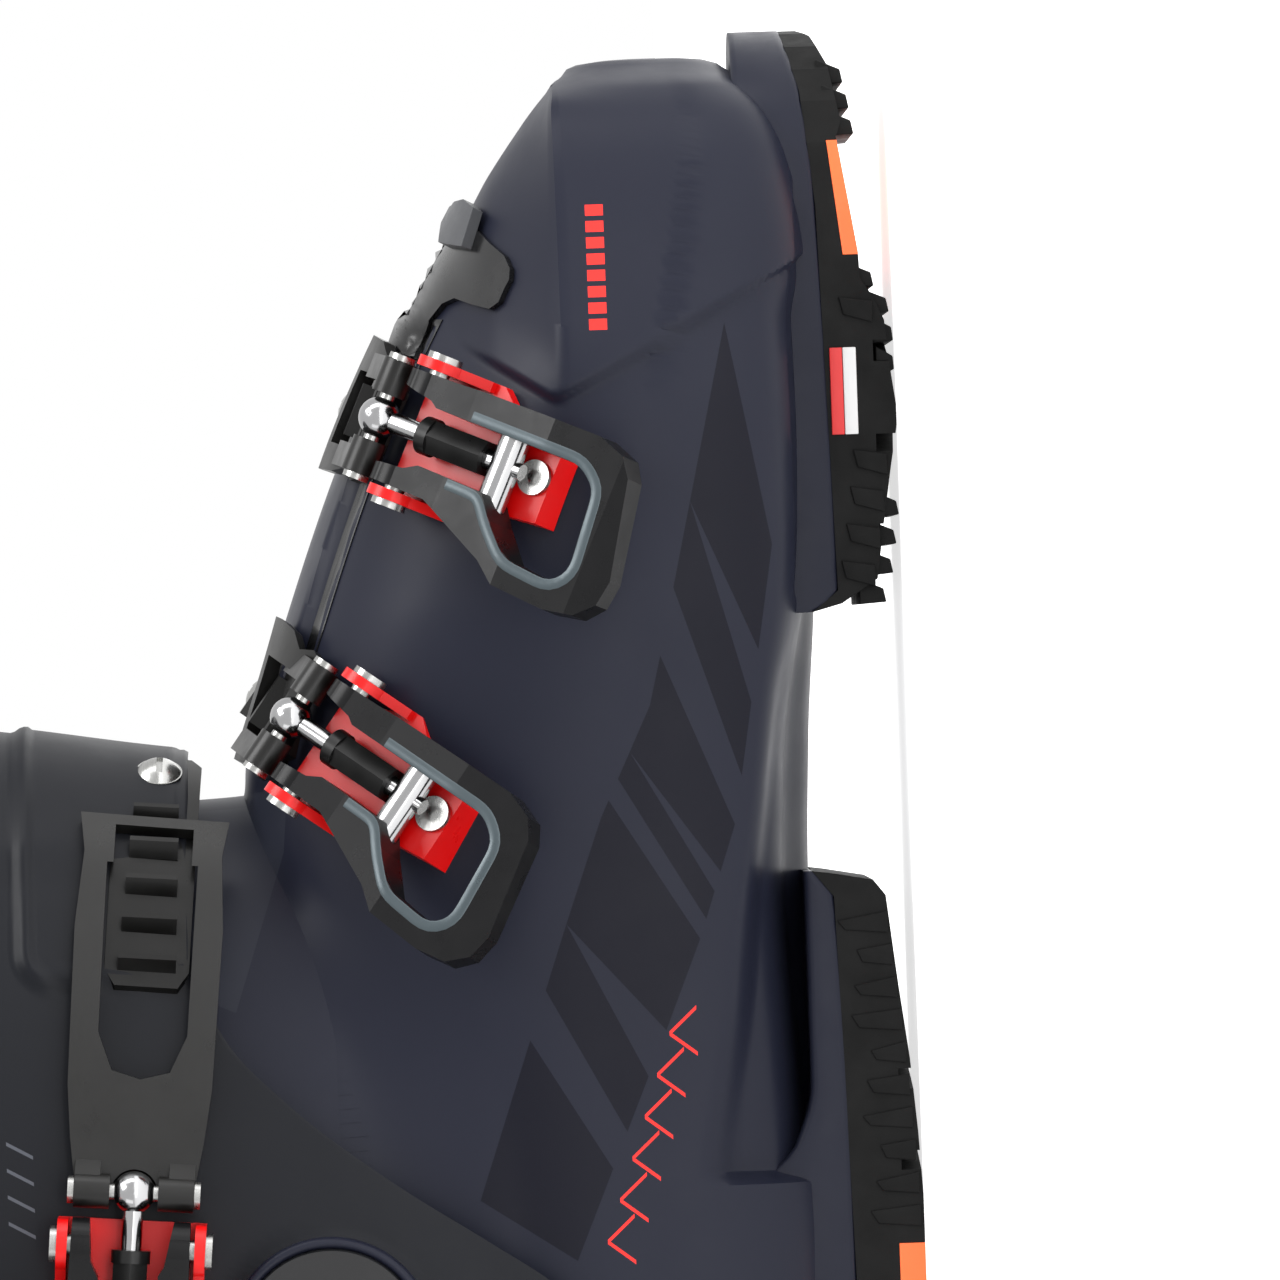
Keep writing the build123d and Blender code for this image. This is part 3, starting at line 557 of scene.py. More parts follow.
def cuff_skin():
    """The cuff, its rows following its cut lower edge and its sloping rim."""
    turn = even_turns(300)
    low = np.full_like(turn, 100.0)
    high = np.full_like(turn, 300.0)
    for _ in range(12):
        x, _y = leg_point(LEG, low, turn)
        low = 0.5 * low + 0.5 * curve_through([p[0] for p in EDGE], [p[1] for p in EDGE], x)
        x, _y = leg_point(LEG, high, turn)
        high = 0.5 * high + 0.5 * np.interp(x, [-200, -60, 80], [319, 314, 279])
    rows = 190
    share = np.linspace(0, 1, rows)[:, None]
    grid_z = low[None] + (high - low)[None] * share
    grid_t = np.repeat(turn[None], rows, 0)
    x, y = leg_point(LEG, grid_z, grid_t)
    points = np.stack([x, y, grid_z], -1)
    du = np.gradient(points, axis=0)
    dv = np.roll(points, -1, 1) - np.roll(points, 1, 1)
    normal = np.cross(dv, du)
    normal /= np.maximum(np.linalg.norm(normal, axis=-1, keepdims=True), 1e-9)
    if (normal[90, 75] * points[90, 75] * np.array([0, 1, 0])).sum() < 0:
        normal = -normal
    relief = np.zeros_like(x)
    ring = np.hypot(x - PIVOT[0], grid_z - PIVOT[2])
    outer = y < 0
    tab = rounded_box(x, grid_z, 2.0, 152.8, 27.0, 17.4, 6.0)
    relief += np.where(outer, 1.1 * smooth(0.4, -0.9, tab) + 0.5 * smooth(1.2, 0.2, np.abs(tab + 2.2)), 0)
    tab_high = rounded_box(x, grid_z, 9.0, 214.0, 26.0, 16.0, 6.0)
    relief += np.where(outer, 1.1 * smooth(0.4, -0.9, tab_high), 0)
    flap = smooth(14.0, 12.6, y) * smooth(-6, 2, x)
    relief += 1.0 * flap * smooth(0, 0.02, share)
    seam = smooth(1.1, 0.3, np.abs(y - 14.4)) * (x > 0)
    relief -= 1.2 * seam
    points = points + normal * relief[..., None]
    flat = smooth(21.0, 16.5, ring)[..., None]
    face = points.copy()
    face[..., 1] = np.where(outer, -PIVOT_FACE, PIVOT_FACE)
    points = points * (1 - flat) + face * flat
    mid_x, mid_y, mid_z = x[:-1], y[:-1], grid_z[:-1]
    hole = (mid_x > 0) & (np.abs(mid_y) < 7 + (mid_z - 236) * 0.156) & (mid_z > 236)
    obj = grid_object("cuff_body", points, keep=~hole)
    thicken(obj, CUFF_WALL, 0.9)
    return obj


def pivot_ring(name, side):
    """The raised round rim round one ankle pivot."""
    turn = np.linspace(0, 2 * np.pi, 97)[:-1]
    rows = []
    for radius, out in PIVOT_RIM:
        rows.append(np.stack([PIVOT[0] + radius * np.cos(turn), np.full_like(turn, side * out),
                              PIVOT[2] + radius * np.sin(turn)], -1))
    rows.append(rows[0])
    return grid_object(name, np.array(rows), sharp=60)


# ------------------------------------------------------------------ lugs of the shell
SOLE_TIP = 152.45
LUG_RADIUS = 1.3


def lug(name, xs, half, half_sole, bottom, top):
    """A sole-shaped plate lofted along X, with rounded long edges."""
    reach = 34.0
    rings = []
    for x in xs:
        along = min(1.0, max(0.0, (abs(x) - (half_sole - reach)) / reach))
        width = half * math.sqrt(max(0.0, 1 - along ** 2.5)) ** 0.9
        width = max(width, 2.0)
        low, high = curve_through(*bottom, x), curve_through(*top, x)
        r = min(LUG_RADIUS, (high - low) / 2.2, width / 2.2)
        ring = []
        for cy, cz, start in ((width - r, high - r, 0), (r - width, high - r, 90), (r - width, low + r, 180),
                              (width - r, low + r, 270)):
            for step in range(5):
                a = math.radians(start + 22.5 * step)
                ring.append((x, cy + r * math.cos(a), cz + r * math.sin(a)))
        rings.append(ring)
    points = np.array(rings)
    return grid_object(name, with_closed_ends(points), sharp=50)


def shell_lugs():
    """The shell's own thick plates over the toe sole and the heel sole."""
    round_end = [SOLE_TIP - 33.5 * (1 - math.sin(t)) for t in np.linspace(0, math.pi / 2, 36)]
    toe_x = list(np.linspace(41, 119, 40)) + round_end
    toe = lug("toe_lug", toe_x, 34.5, 152.6, ([41, 45, 118, 140, 152.5], [17.2, 12.2, 14.0, 16.2, 19.5]),
              ([41, 108, 124, 153], [33, 33, 29.0, 29.0]))
    heel_x = [-8.0, -10.0, -12.5] + list(np.linspace(-16, -119, 50))
    heel_x += [-x for x in round_end[1:]]
    heel = lug("heel_lug", heel_x, 35.0, 152.6, ([-8, -13, -86, -153], [19, 15, 13.2, 13.2]),
               ([-8, -48, -60, -70, -132, -153], [20.5, 20.5, 24, 33, 32, 31.0]))
    return toe, heel


# ------------------------------------------------------------------ plates that lie on the shell's outer side
def side_point(x, z):
    """The shell's outer side at a place in the side view: the point and the normal there, in mm."""
    spot, normal, _index, _distance = SHELL_TREE.ray_cast(Vector((x * MM, -0.2, z * MM)), Vector((0, 1, 0)))
    if spot is None:
        spot, normal, _index, _distance = SHELL_TREE.find_nearest(Vector((x * MM, -0.012, z * MM)))
    if normal.y > 0:
        normal = -normal
    return np.array(spot) / MM, np.array(normal)


def side_plate(name, outline, low, high, step=1.6):
    """A plate with an X-Z outline that follows the outer side of the shell between two heights above it."""
    bm = bmesh.new()
    face = bm.faces.new([bm.verts.new((x * MM, 0, z * MM)) for x, z in outline])
    for axis in (0, 2):
        values = [p[0 if axis == 0 else 1] for p in outline]
        for cut in np.arange(min(values) + step * 0.6, max(values), step):
            spot, direction = [0, 0, 0], [0, 0, 0]
            spot[axis], direction[axis] = cut * MM, 1
            everything = bm.verts[:] + bm.edges[:] + bm.faces[:]
            bmesh.ops.bisect_plane(bm, geom=everything, plane_co=spot, plane_no=direction)
    bottom = list(bm.faces)
    bmesh.ops.recalc_face_normals(bm, faces=bottom)
    flat = {v: (v.co.x / MM, v.co.z / MM) for v in bm.verts}
    rim = [e for e in bm.edges if len(e.link_faces) == 1]
    copy = bmesh.ops.duplicate(bm, geom=bottom + list({e for f in bottom for e in f.edges})
                               + list({v for f in bottom for v in f.verts}))
    pair = copy["vert_map"]
    for v, (x, z) in flat.items():
        base, normal = side_point(x, z)
        v.co = Vector((base + normal * low) * MM)
        pair[v].co = Vector((base + normal * high) * MM)
    for e in rim:
        a, b = e.verts
        bm.faces.new((a, b, pair[b], pair[a]))
    bmesh.ops.recalc_face_normals(bm, faces=bm.faces[:])
    mesh = bpy.data.meshes.new(name)
    bm.to_mesh(mesh)
    bm.free()
    for p in mesh.polygons:
        p.use_smooth = True
    obj = bpy.data.objects.new(name, mesh)
    bpy.context.scene.collection.objects.link(obj)
    crease(obj, 40)
    add_bevel(obj, 0.35, 2, 50)
    return obj


# Outlines in the side view: X, Z
GASKET = [(110.0, 87.6), (113.6, 84.5), (114.4, 80.0), (115.6, 77.4), (112.6, 75.0), (110.2, 72.4),
          (107.7, 71.4), (105.6, 71.6), (103.9, 72.6), (101.4, 73.8), (100.2, 75.6), (101.2, 78.6),
          (102.6, 82.0), (101.6, 84.4), (98.7, 86.9), (94.8, 88.6), (91.6, 90.0), (92.4, 93.0),
          (94.0, 95.0), (98.0, 93.5), (104.0, 90.2)]
CLIP = [(112.4, 82.6), (111.6, 78.4), (118.6, 76.0), (120.4, 77.6), (120.0, 79.8), (116.0, 82.0)]


def lap_gap_shade_strip():
    """A near-black glossy strip in the gap between the two flaps on the instep, standing for the shade in
    that gap under the overlapping flap: painted shade.
    """
    xs = np.linspace(12, 99, 140)
    high = curve_through(STATIONS[:, 0], STATIONS[:, 2], xs)
    rows = []
    for x, top in zip(xs, high):
        ring = []
        for dz, out in ((-7.4, -1.2), (-7.4, 0.25), (-6.2, 0.5), (-5.2, 0.25), (-5.2, -1.2)):
            base, normal = side_point(x, top + dz)
            ring.append(base + normal * out)
        rows.append(ring)
    return grid_object("lap_gap_shade_strip", np.array(rows), sharp=50)


def sole_lugs():
    """Saw-toothed lugs under the rubber and ribs on its side walls, as parts for across_prisms."""
    pieces = []
    for x in [44.5, 50.0, 55.5, 61.0, 88.5, 94.0, 99.5, 104.5, 133.5, 138.5, 143.5]:
        base = float(np.interp(x, [42.5, 47, 58, 68, 80, 87, 96, 101, 104, 109, 131, 134, 145, 151],
                               [6.5, 4.6, 3.0, 1.4, 0, 0.9, 1.7, 4.0, 6.0, 6.2, 9.6, 8.6, 10.6, 13.5]))
        drop = min(2.6, base - 0.1)
        outline = [(x - 2.3, base + 2.5), (x - 2.0, base - drop), (x + 0.6, base - drop * 0.8),
                   (x + 2.6, base + 2.5)]
        half = 33.6 * math.sqrt(max(0.05, 1 - max(0.0, (x - 118.5) / 34.0) ** 2.5)) - 0.4
        pieces.append((outline, -half, half))
    for k, x in enumerate([x for x in np.arange(-136, -12, 6.2) if not -104 < x < -76]):
        tall = 9.6 - 1.4 * (k % 3)
        low = float(np.interp(x, [-148, -70, -44, -13], [0.6, 0.6, 2.2, 5.6]))
        outline = [(x - 1.9, low), (x + 2.2, low), (x + 1.2 - 0.6 * (k % 2), low + tall),
                   (x - 1.2, low + tall * 0.85)]
        edge = 34.5 * math.sqrt(max(0.05, 1 - max(0.0, (abs(x) + 2 - 118.5) / 34.0) ** 2.5))
        pieces.append((outline, -edge - 0.7, -edge + 3.0))
        pieces.append((outline, edge - 3.0, edge + 0.7))
    for x in [48.0, 55.0, 62.0, 69.0, 98.0]:
        low = float(np.interp(x, [42, 58, 80, 101], [6.0, 3.4, 0.8, 4.4]))
        outline = [(x - 2.4, low), (x + 1.6, low), (x + 2.6, low + 6.4), (x - 0.8, low + 5.6)]
        pieces.append((outline, -34.9, -31.0))
        pieces.append((outline, 31.0, 34.9))
    return pieces


# ------------------------------------------------------------------ soft parts
# How far the liner and the tongue lie inside the cuff's surface: outer face, inner face
LINER_FACES = (-6.1, -12.4)
TONGUE_FACES = (-6.2, -12.3)
LINER_LOW = 62


def rounded_sheet(name, outer, inner, rim=3):
    """A padded wall between two grids, its top and bottom edges rounded over."""
    rows = [outer]
    top = [outer[-1] * (1 - t) + inner[-1] * t for t in np.linspace(0, 1, rim + 2)[1:-1]]
    bottom = [inner[0] * (1 - t) + outer[0] * t for t in np.linspace(0, 1, rim + 2)[1:-1]]
    for k, ring in enumerate(top):
        ring[:, 2] += 2.6 * math.sin(math.pi * (k + 1) / (rim + 1))
    for k, ring in enumerate(bottom):
        ring[:, 2] -= 1.6 * math.sin(math.pi * (k + 1) / (rim + 1))
    rows += [np.array(top), inner[::-1], np.array(bottom), outer[:1]]
    return grid_object(name, np.concatenate(rows))


def liner():
    """The shaft of the soft inner boot, quilted in level bands, with a rounded collar."""
    count, levels = 160, 74
    turn = even_turns(count)
    share = np.linspace(0, 1, levels)[:, None]
    x_now, _y = leg_point(LEG, np.full(count, 320.0), turn, -6.0)
    top = np.interp(x_now, [-120, -60, 60], [331.0, 331.0, 306.0])
    z = LINER_LOW + (top[None] - LINER_LOW) * share
    t = np.repeat(turn[None], levels, 0)
    above = smooth(150, 176, z)
    ox_c, oy_c = leg_point(LEG, z, t, LINER_FACES[0])
    ox_t, oy_t = leg_point(TOWER, np.minimum(z, 159.0), t, -6.4)
    ix_c, iy_c = leg_point(LEG, z, t, LINER_FACES[1])
    ix_t, iy_t = leg_point(TOWER, np.minimum(z, 159.0), t, -12.2)
    outer = np.stack([ox_t + (ox_c - ox_t) * above, oy_t + (oy_c - oy_t) * above, z], -1)
    inner = np.stack([ix_t + (ix_c - ix_t) * above, iy_t + (iy_c - iy_t) * above, z], -1)
    centre = inner.mean(1, keepdims=True)
    away = inner - centre
    away[..., 2] = 0
    away /= np.linalg.norm(away, axis=-1, keepdims=True)
    quilt = np.abs(np.sin((z - LINER_LOW) / 21.0 * math.pi)) ** 0.5
    inner = inner + away * (1.1 * (1 - quilt))[..., None]
    return rounded_sheet("liner_shaft_pad", outer, inner)


def liner_foot():
    """The foot of the soft inner boot."""
    xs = np.linspace(138, -138, 90)
    turn = np.linspace(0, 2 * np.pi, 91)[:-1]
    gx, gt = np.meshgrid(xs, turn, indexing="ij")
    y, z = shell_point(gx, gt, inset=6.6, detail=False)
    z = np.maximum(z, 28.5 + 8 * smooth(60, -60, gx))
    points = np.stack([gx, y, z], -1)
    points = with_closed_ends(points)
    mid = (points[:-1] + points[1:]) / 2
    hole = (mid[..., 0] < 2) & (mid[..., 0] > -124) & (np.abs(mid[..., 1]) < 33) & (mid[..., 2] > 92)
    obj = grid_object("liner_foot_pad", points, keep=~hole)
    thicken(obj, 5.5)
    return obj


def tongue():
    """The padded tongue that stands above the cuff in front, with sewn channels."""
    count, levels = 40, 90
    zs = np.linspace(174, 343, levels)
    rows_out, rows_in = [], []
    for z in zs:
        half_width = 27.5 * (1 - 0.22 * smooth(300, 343, z)) * (1 - 0.3 * smooth(336, 344, z))
        turns = np.linspace(-1, 1, count)
        fine = np.linspace(-1.2, 1.2, 400)
        _x, y_fine = leg_point(LEG, np.full(400, z), fine, TONGUE_FACES[0])
        angle = np.interp(turns * half_width, y_fine, fine)
        xo, yo = leg_point(LEG, np.full(count, z), angle, TONGUE_FACES[0])
        xi, yi = leg_point(LEG, np.full(count, z), angle, TONGUE_FACES[1])
        crown = np.sqrt(np.clip(1 - np.abs(turns) ** 4, 0, 1))
        channel = np.abs(math.sin((z - 174) / 23.0 * math.pi)) ** 0.4
        bulge = crown * (0.72 + 0.28 * channel)
        mx, my = (xo + xi) / 2, (yo + yi) / 2
        rows_out.append(np.stack([mx + (xo - mx) * bulge, my + (yo - my) * bulge, np.full(count, z)], -1))
        rows_in.append(np.stack([mx + (xi - mx) * bulge, my + (yi - my) * bulge, np.full(count, z)], -1))
    outer, inner = np.array(rows_out), np.array(rows_in)
    loop = np.concatenate([outer, inner[:, ::-1]], 1)
    ends = closing_rings(loop[0], (0.02, 0.7))
    tail = [loop[-1].mean(0) + (loop[-1] - loop[-1].mean(0)) * s + np.array([0, 0, p])
            for s, p in ((0.9, 0.6), (0.6, 0.9), (0.02, 1.0))]
    return grid_object("tongue_pad", np.concatenate([ends, loop, tail]))


# The strap's section: Z in front, distance from the cuff's surface
STRAP_SECTION = ((238.6, 0.7), (238.3, 1.6), (239.2, 2.4), (246, 2.55), (257, 2.6), (268, 2.55), (274.6, 2.4),
                 (275.6, 1.6), (275.3, 0.7))


def strap():
    """The webbing strap round the top of the cuff, higher at the back."""
    count = 260
    turn = even_turns(count)
    edges = []
    for base, out in STRAP_SECTION:
        x, _y = leg_point(LEG, np.full(count, base), turn, out)
        z = base + 12.0 * smooth(20, -150, x)
        x, y = leg_point(LEG, z, turn, out)
        edges.append(np.stack([x, y, z], -1))
    edges.append(edges[0])
    return grid_object("strap_webbing", np.array(edges), sharp=60)


def insole():
    """The footbed inside the liner."""
    turns = np.linspace(0, 2 * math.pi, 97)[:-1]
    outline = [(118 * math.cos(a) - 8, (27 + 4 * math.cos(a)) * math.sin(a)) for a in turns]
    rows = []
    for scale, lift in ((1.0, 0.0), (1.0, 1.6), (0.985, 2.4), (0.9, 2.2), (0.6, 1.8), (0.02, 1.7)):
        rows.append([(x * scale, y * scale, 35 + 7 * float(smooth(60, -60, x)) + lift) for x, y in outline])
    return grid_object("insole", np.array(rows))


# ------------------------------------------------------------------ trim on the buckles
# The rim of the lever's window, along and across the lever, and the lever's top: places along it, heights
WINDOW_EDGE = [(13.0, 6.15), (20.9, 6.3), (24.5, 10.8), (30.5, 16.3), (41.0, 17.3), (43.8, 14.2),
               (42.4, -1.9), (38.1, -5.2), (13.0, -5.35)]
LEVER_TOP = ([0, 12, 30, 46, 53], [13.4, 12.4, 12.0, 9.8, 7.0])


def buckle_frame(name):
    """(pivot, p, q, c): the lever's pivot and its directions along, across and out."""
    lever_joint = JOINTS[name + "_lever_open"]
    q = Vector(lever_joint["axis"]).normalized()
    p = Vector(JOINTS[name + "_sleeve_spin"]["axis"]).normalized()
    return Vector(lever_joint["pos_m"]), p, q, q.cross(p)


def window_bevel_highlight(name):
    """The bevelled band round the lever's window; its paler blue-grey colour is a painted highlight on the
    bevel.
    """
    pivot, p, q, c = buckle_frame(name)
    base = pivot - c * 8 * MM
    path = []
    for (a0, b0), (a1, b1) in zip(WINDOW_EDGE, WINDOW_EDGE[1:]):
        n = max(2, int(math.hypot(a1 - a0, b1 - b0) / 1.2))
        path += [(a0 + (a1 - a0) * i / n, b0 + (b1 - b0) * i / n) for i in range(n)]
    path.append(WINDOW_EDGE[-1])
    path = np.array(path)
    for _ in range(3):
        path[1:-1] = (path[:-2] + 2 * path[1:-1] + path[2:]) / 4
    tangent = np.gradient(path, axis=0)
    tangent /= np.linalg.norm(tangent, axis=1, keepdims=True)
    outward = np.stack([-tangent[:, 1], tangent[:, 0]], 1)
    middle = np.array([33.0, 6.0])
    if ((path - middle) * outward).sum() < 0:
        outward = -outward
    rows = []
    for spot, out in zip(path, outward):
        ring = []
        for width, lift in ((0.15, -1.2), (0.05, 0.04), (0.25, 0.16), (1.9, 0.16), (2.1, 0.04), (2.0, -1.2)):
            a, b = spot + out * width
            height = float(np.interp(a, *LEVER_TOP)) + lift
            ring.append(tuple((base + (p * a + q * b + c * height) * MM) / MM))
        rows.append(ring)
    return grid_object(name + "_lever_bevel_highlight", np.array(rows), sharp=45)


# ------------------------------------------------------------------ colours, printed shapes and a painted highlight
NAVY = (0.0105, 0.0118, 0.0215)
INK = (0.0022, 0.0024, 0.0075)
CUFF_BLACK = (0.0056, 0.0063, 0.0090)
RED_PRINT = (0.80, 0.03, 0.025)


def big_blocks():
    """Large tone-on-tone slanted blocks along the side, in place of printed letters."""
    upper = [(-68, 84), (1, 60), (25, 48.6), (102, 31)]
    lower = [(-80, 66), (-22.6, 41.7), (2, 33.3), (68, 22.4)]
    spans = [(0.0, 0.10), (0.14, 0.20), (0.25, 0.37), (0.42, 0.49), (0.54, 0.66), (0.71, 0.78), (0.83, 0.93)]

    def along(edge, t):
        where = np.linspace(0, 1, len(edge))
        return tuple(float(np.interp(t, where, [e[k] for e in edge])) for k in (0, 1))

    blocks = []
    for k, (low, high) in enumerate(spans):
        shift = 0.05 if k % 2 else 0.0
        top = [along(upper, low + shift), along(upper, high + shift)]
        blocks.append(top + [along(lower, high), along(lower, low)])
        if k % 2 == 0:
            corner, tip = along(upper, high), along(upper, min(1.0, high + 0.045))
            blocks.append([corner, tip, along(lower, high)])
    return blocks


def small_marks():
    """A row of small red shapes on the toe, in place of printed words."""
    marks = []
    for k in range(8):
        x = 95.6 + 3.1 * k
        marks.append([(x, 54.4), (x + 2.1, 54.4), (x + 2.1, 57.8), (x, 57.8)])
    return marks


def chevrons():
    """Thin red chevrons low on the side, in place of a printed name."""
    marks = []
    for k in range(6):
        x, z = -77.0 + 7.8 * k, 55.0 - 2.6 * k
        marks.append([(x, z + 5.2), (x + 0.8, z + 5.2), (x + 5.6, z), (x + 4.8, z)])
        marks.append([(x - 4.0, z), (x - 3.2, z), (x + 0.8, z + 5.2), (x, z + 5.2)])
    return marks


def cuff_ticks():
    """Four pale slanted ticks on the side of the cuff."""
    return [[(x, 168), (x + 0.7, 168), (x + 3.5, 173), (x + 2.8, 173)] for x in (-72, -67, -62, -57)]


def anticlockwise(points):
    """The polygon, turned round if it runs clockwise with X to the right and Z up."""
    area = sum(a[0] * b[1] - b[0] * a[1] for a, b in zip(points, points[1:] + points[:1]))
    return points if area > 0 else points[::-1]


def make_materials():
    """Every material by the name that add and the record's slots use."""
    # A lighter patch on the shell, low on the ankle just under the cuff's edge, is a painted highlight.
    ankle_painted_highlight = [(9, 137), (11, 118), (-1, 119), (-31, 129), (-27, 138)]
    shell_layers = [((0.018, 0.020, 0.030), [ankle_painted_highlight]), (INK, big_blocks()),
                    (RED_PRINT, small_marks() + chevrons())]
    return {
        "shell": printed("shell_plastic", NAVY, 0.38, shell_layers),
        "cuff": printed("cuff_plastic", CUFF_BLACK, 0.42, [((0.07, 0.075, 0.09), cuff_ticks())]),
        "shell_plastic": plain(
            "lug_plastic", NAVY, 0.38, grain=2400, grain_depth=0.012, specular=SHELL_SPECULAR),
        "board_plastic": plain("board", (0.2, 0.2, 0.2), 0.6),
        "gasket_rubber": plain("gasket", (0.006, 0.006, 0.0065), 0.24, coat=0.2, specular=0.35),
        "grey_plastic": plain("clip_grey", (0.055, 0.057, 0.062), 0.45, specular=0.3),
        "sole_rubber": plain("sole_rubber", (0.0045, 0.0045, 0.0045), 0.6, grain=700, grain_depth=0.08,
                             spread=0.12, specular=0.14),
        "label_red": plain("label_red", (0.55, 0.02, 0.02), 0.5),
        "label_white": plain("label_white", (0.62, 0.62, 0.62), 0.5),
        "orange_plastic": plain("orange", (0.93, 0.13, 0.02), 0.42),
        "steel": plain("steel", (0.38, 0.38, 0.37), 0.28, metallic=1.0, stretch=(1, 1, 8), tone=0.06),
        "black_plastic": plain("black_plastic", (0.008, 0.008, 0.009), 0.42, specular=0.35),
        "dark_metal": plain("dark_metal", (0.0045, 0.0044, 0.0042), 0.34, metallic=0.05, coat=0.05,
                            specular=0.22),
        "red_metal": plain("red_metal", (0.62, 0.0015, 0.0015), 0.34, coat=0.1, tone=0.08, specular=0.3),
        "lever_metal": plain("lever_metal", (0.0045, 0.0045, 0.005), 0.3, coat=0.04, specular=0.16),
        # The levers' bevelled bands: their paler blue-grey colour is a painted highlight.
        "inlay": plain("lever_bevel_highlight", (0.05, 0.066, 0.074), 0.32, metallic=0.3, specular=0.4),
        "chrome": plain("chrome", (0.40, 0.40, 0.405), 0.16, metallic=1.0, tone=0.05, spread=0.05),
        "sleeve_steel": plain("sleeve", (0.008, 0.008, 0.008), 0.34, metallic=0.2, specular=0.35),
        "bail_metal": plain("bail_metal", (0.0045, 0.0043, 0.0040), 0.34, metallic=0.05, coat=0.05,
                            specular=0.34),
        "liner_fabric": woven("liner_cloth", (0.016, 0.016, 0.019), 1.1, 0.12),
        "tongue_fabric": woven("tongue_cloth", (0.02, 0.02, 0.025), 1.1, 0.12),
        "strap_fabric": woven("strap_cloth", (0.01, 0.01, 0.011), 1.5, 0.25, 0.7),
        "floor": plain("floor", (0.97, 0.97, 0.97), 0.95, grain=60, grain_depth=0.001, tone=0.005,
                       specular=0.0),
    }


def paint(obj, material):
    obj.data.materials.clear()
    obj.data.materials.append(material)


def add(obj, body, material, replaces=()):
    """Puts a new piece on its body with its material."""
    paint(obj, MATERIALS[material])
    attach(obj, body)
    if replaces:
        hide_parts(*replaces)
    return obj


MATERIALS = make_materials()
SLOT_OF = {row["node"]: row["material_slot"] for row in frame["record"]["subparts"]}
# Bevels on the CAD nodes that are shown as they are, by slot
EDGES = {"sole_rubber": 0.7, "lever_metal": 0.7, "bail_metal": 0.7, "red_metal": 0.4, "dark_metal": 0.5,
         "sleeve_steel": 0.35, "black_plastic": 0.5, "orange_plastic": 0.3}
for node_name, node in NODES.items():
    slot_name = SLOT_OF[node_name]
    if slot_name in MATERIALS:
        paint(node, MATERIALS[slot_name])
    crease(node, 30)
    if slot_name in EDGES:
        add_bevel(node, EDGES[slot_name], 2, 35)

foot = add(shell_skin(), "shell", "shell", ["lower_shell"])
SHELL_TREE = BVHTree.FromPolygons(
    [v.co.copy() for v in foot.data.vertices], [list(p.vertices) for p in foot.data.polygons])
add(tower_skin(), "shell", "shell", ["lower_shell"])
for piece in shell_lugs():
    add(piece, "shell", "shell_plastic", ["lower_shell"])
add(cuff_skin(), "cuff", "cuff", ["cuff_shell"])
add(pivot_ring("pivot_ring_outer", -1), "cuff", "shell_plastic")
add(pivot_ring("pivot_ring_inner", 1), "cuff", "shell_plastic")
gasket_plate = side_plate("toe_gasket_plate", GASKET, 0.05, 1.3)
add(gasket_plate, "shell", "gasket_rubber", ["toe_gasket"])
clip_block = side_plate("gasket_clip_block", CLIP, 1.2, 3.6, 1.2)
add(clip_block, "shell", "grey_plastic", ["gasket_clip"])
add(across_prisms("sole_lug_rows", sole_lugs()), "shell", "sole_rubber")
for side, low, high, tint in (("upper", 9.9, 12.3, "label_red"), ("lower", 7.3, 9.8, "label_white")):
    patch = ([(74.5, low), (91, low), (91, high), (74.5, high)], -34.75, -33.0)
    add(across_prisms("sole_label_" + side, [patch], 0.15), "shell", tint)
# The dark strip in the gap between the flaps is painted shade.
add(lap_gap_shade_strip(), "shell", "gasket_rubber", ["lap_seal"])
shaft = add(liner(), "cuff", "liner_fabric", ["liner_shaft"])
inner_foot = add(liner_foot(), "shell", "liner_fabric", ["liner_foot"])
footbed = add(insole(), "shell", "liner_fabric")
tongue_piece = add(tongue(), "cuff", "tongue_fabric", ["liner_tongue"])
add(strap(), "cuff", "strap_fabric", ["power_strap"])
for name in BUCKLES:
    # Bevelled bands round the lever windows, coloured paler as a painted highlight.
    add(window_bevel_highlight(name), name + "_lever", "inlay")

# ------------------------------------------------------------------ floor, light and camera
bpy.ops.mesh.primitive_plane_add(size=6, location=(0, 0, 0))
floor = bpy.context.object
floor.name = "floor"
paint(floor, MATERIALS["floor"])
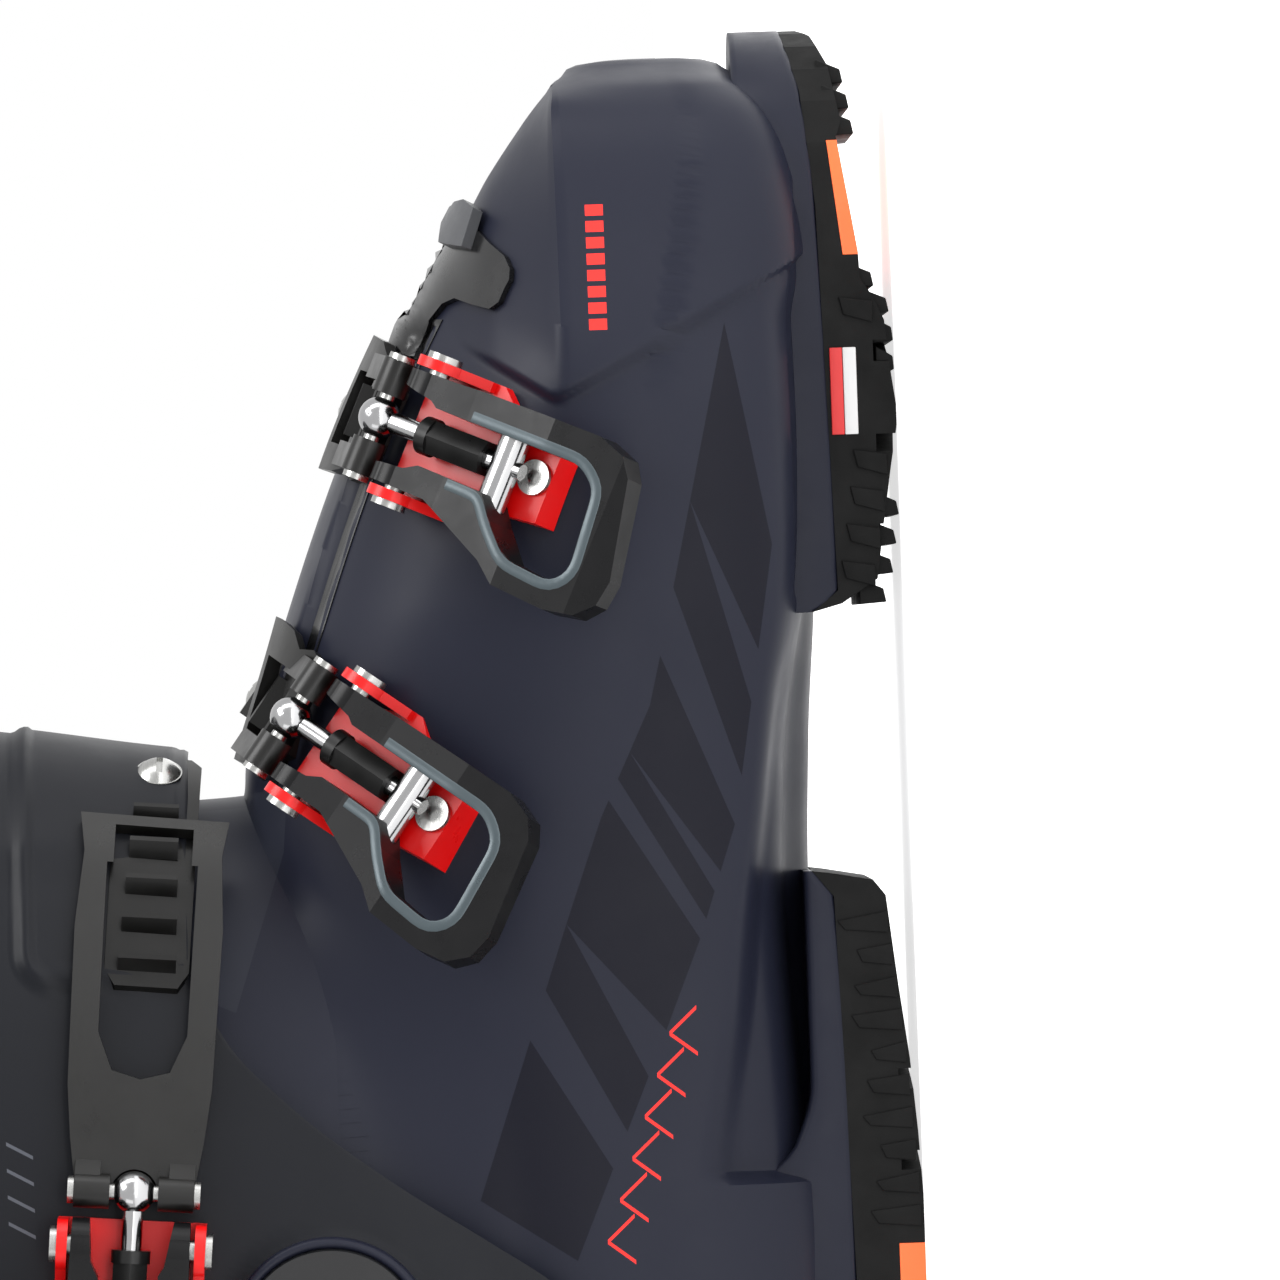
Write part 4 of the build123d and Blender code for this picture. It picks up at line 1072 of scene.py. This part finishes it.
# A faint light in the floor keeps it as white as the background
glow = MATERIALS["floor"].node_tree.nodes["Principled BSDF"]
glow.inputs["Emission Color"].default_value = (1, 1, 1, 1)
glow.inputs["Emission Strength"].default_value = 0.7

world = bpy.context.scene.world or bpy.data.worlds.new("World")
bpy.context.scene.world = world
world.use_nodes = True
world.node_tree.nodes["Background"].inputs["Color"].default_value = (1, 1, 1, 1)
world.node_tree.nodes["Background"].inputs["Strength"].default_value = 1.0
bpy.context.scene.view_settings.view_transform = "Standard"


def area_light(name, place, aim, size, power):
    data = bpy.data.lights.new(name, "AREA")
    data.shape = "RECTANGLE"
    data.size, data.size_y = size
    data.energy = power
    obj = bpy.data.objects.new(name, data)
    bpy.context.scene.collection.objects.link(obj)
    obj.location = place
    obj.rotation_euler = (Vector(aim) - Vector(place)).to_track_quat("-Z", "Y").to_euler()


area_light("key", (0.7, -0.45, 1.2), (0.05, 0, 0.1), (0.9, 0.5), 12)
area_light("front", (1.2, -0.4, 0.5), (0.1, 0, 0.08), (0.5, 0.9), 5)
area_light("low", (0.1, -0.6, 0.03), (0.0, 0, 0.06), (0.9, 0.05), 0.5)
area_light("rear", (-1.1, -0.9, 0.7), (-0.05, 0, 0.1), (0.5, 0.9), 1.5)

# The view: its width, the camera's distance and the point it looks at in mm, its rise and its roll
VIEW_WIDTH = 241.8
DISTANCE = 3200.0
AIM = (36.9, -45.0, 50.2)
RISE = math.radians(0.7)
ROLL = math.radians(2.0)
look = Vector((0, math.cos(RISE), -math.sin(RISE)))
up0 = Vector((1, 0, 0))
right0 = look.cross(up0)
right = right0 * math.cos(ROLL) - up0 * math.sin(ROLL)
up = up0 * math.cos(ROLL) + right0 * math.sin(ROLL)
camera_data = bpy.data.cameras.new("camera")
camera = bpy.data.objects.new("camera", camera_data)
bpy.context.scene.collection.objects.link(camera)
rotation = Matrix((right, up, -look)).transposed().to_4x4()
camera.matrix_world = Matrix.Translation((Vector(AIM) - look * DISTANCE) * MM) @ rotation
camera_data.sensor_width = 36.0
camera_data.lens = 36.0 * DISTANCE / VIEW_WIDTH
camera_data.clip_start, camera_data.clip_end = 0.05, 20
bpy.context.scene.camera = camera

bpy.context.view_layer.update()
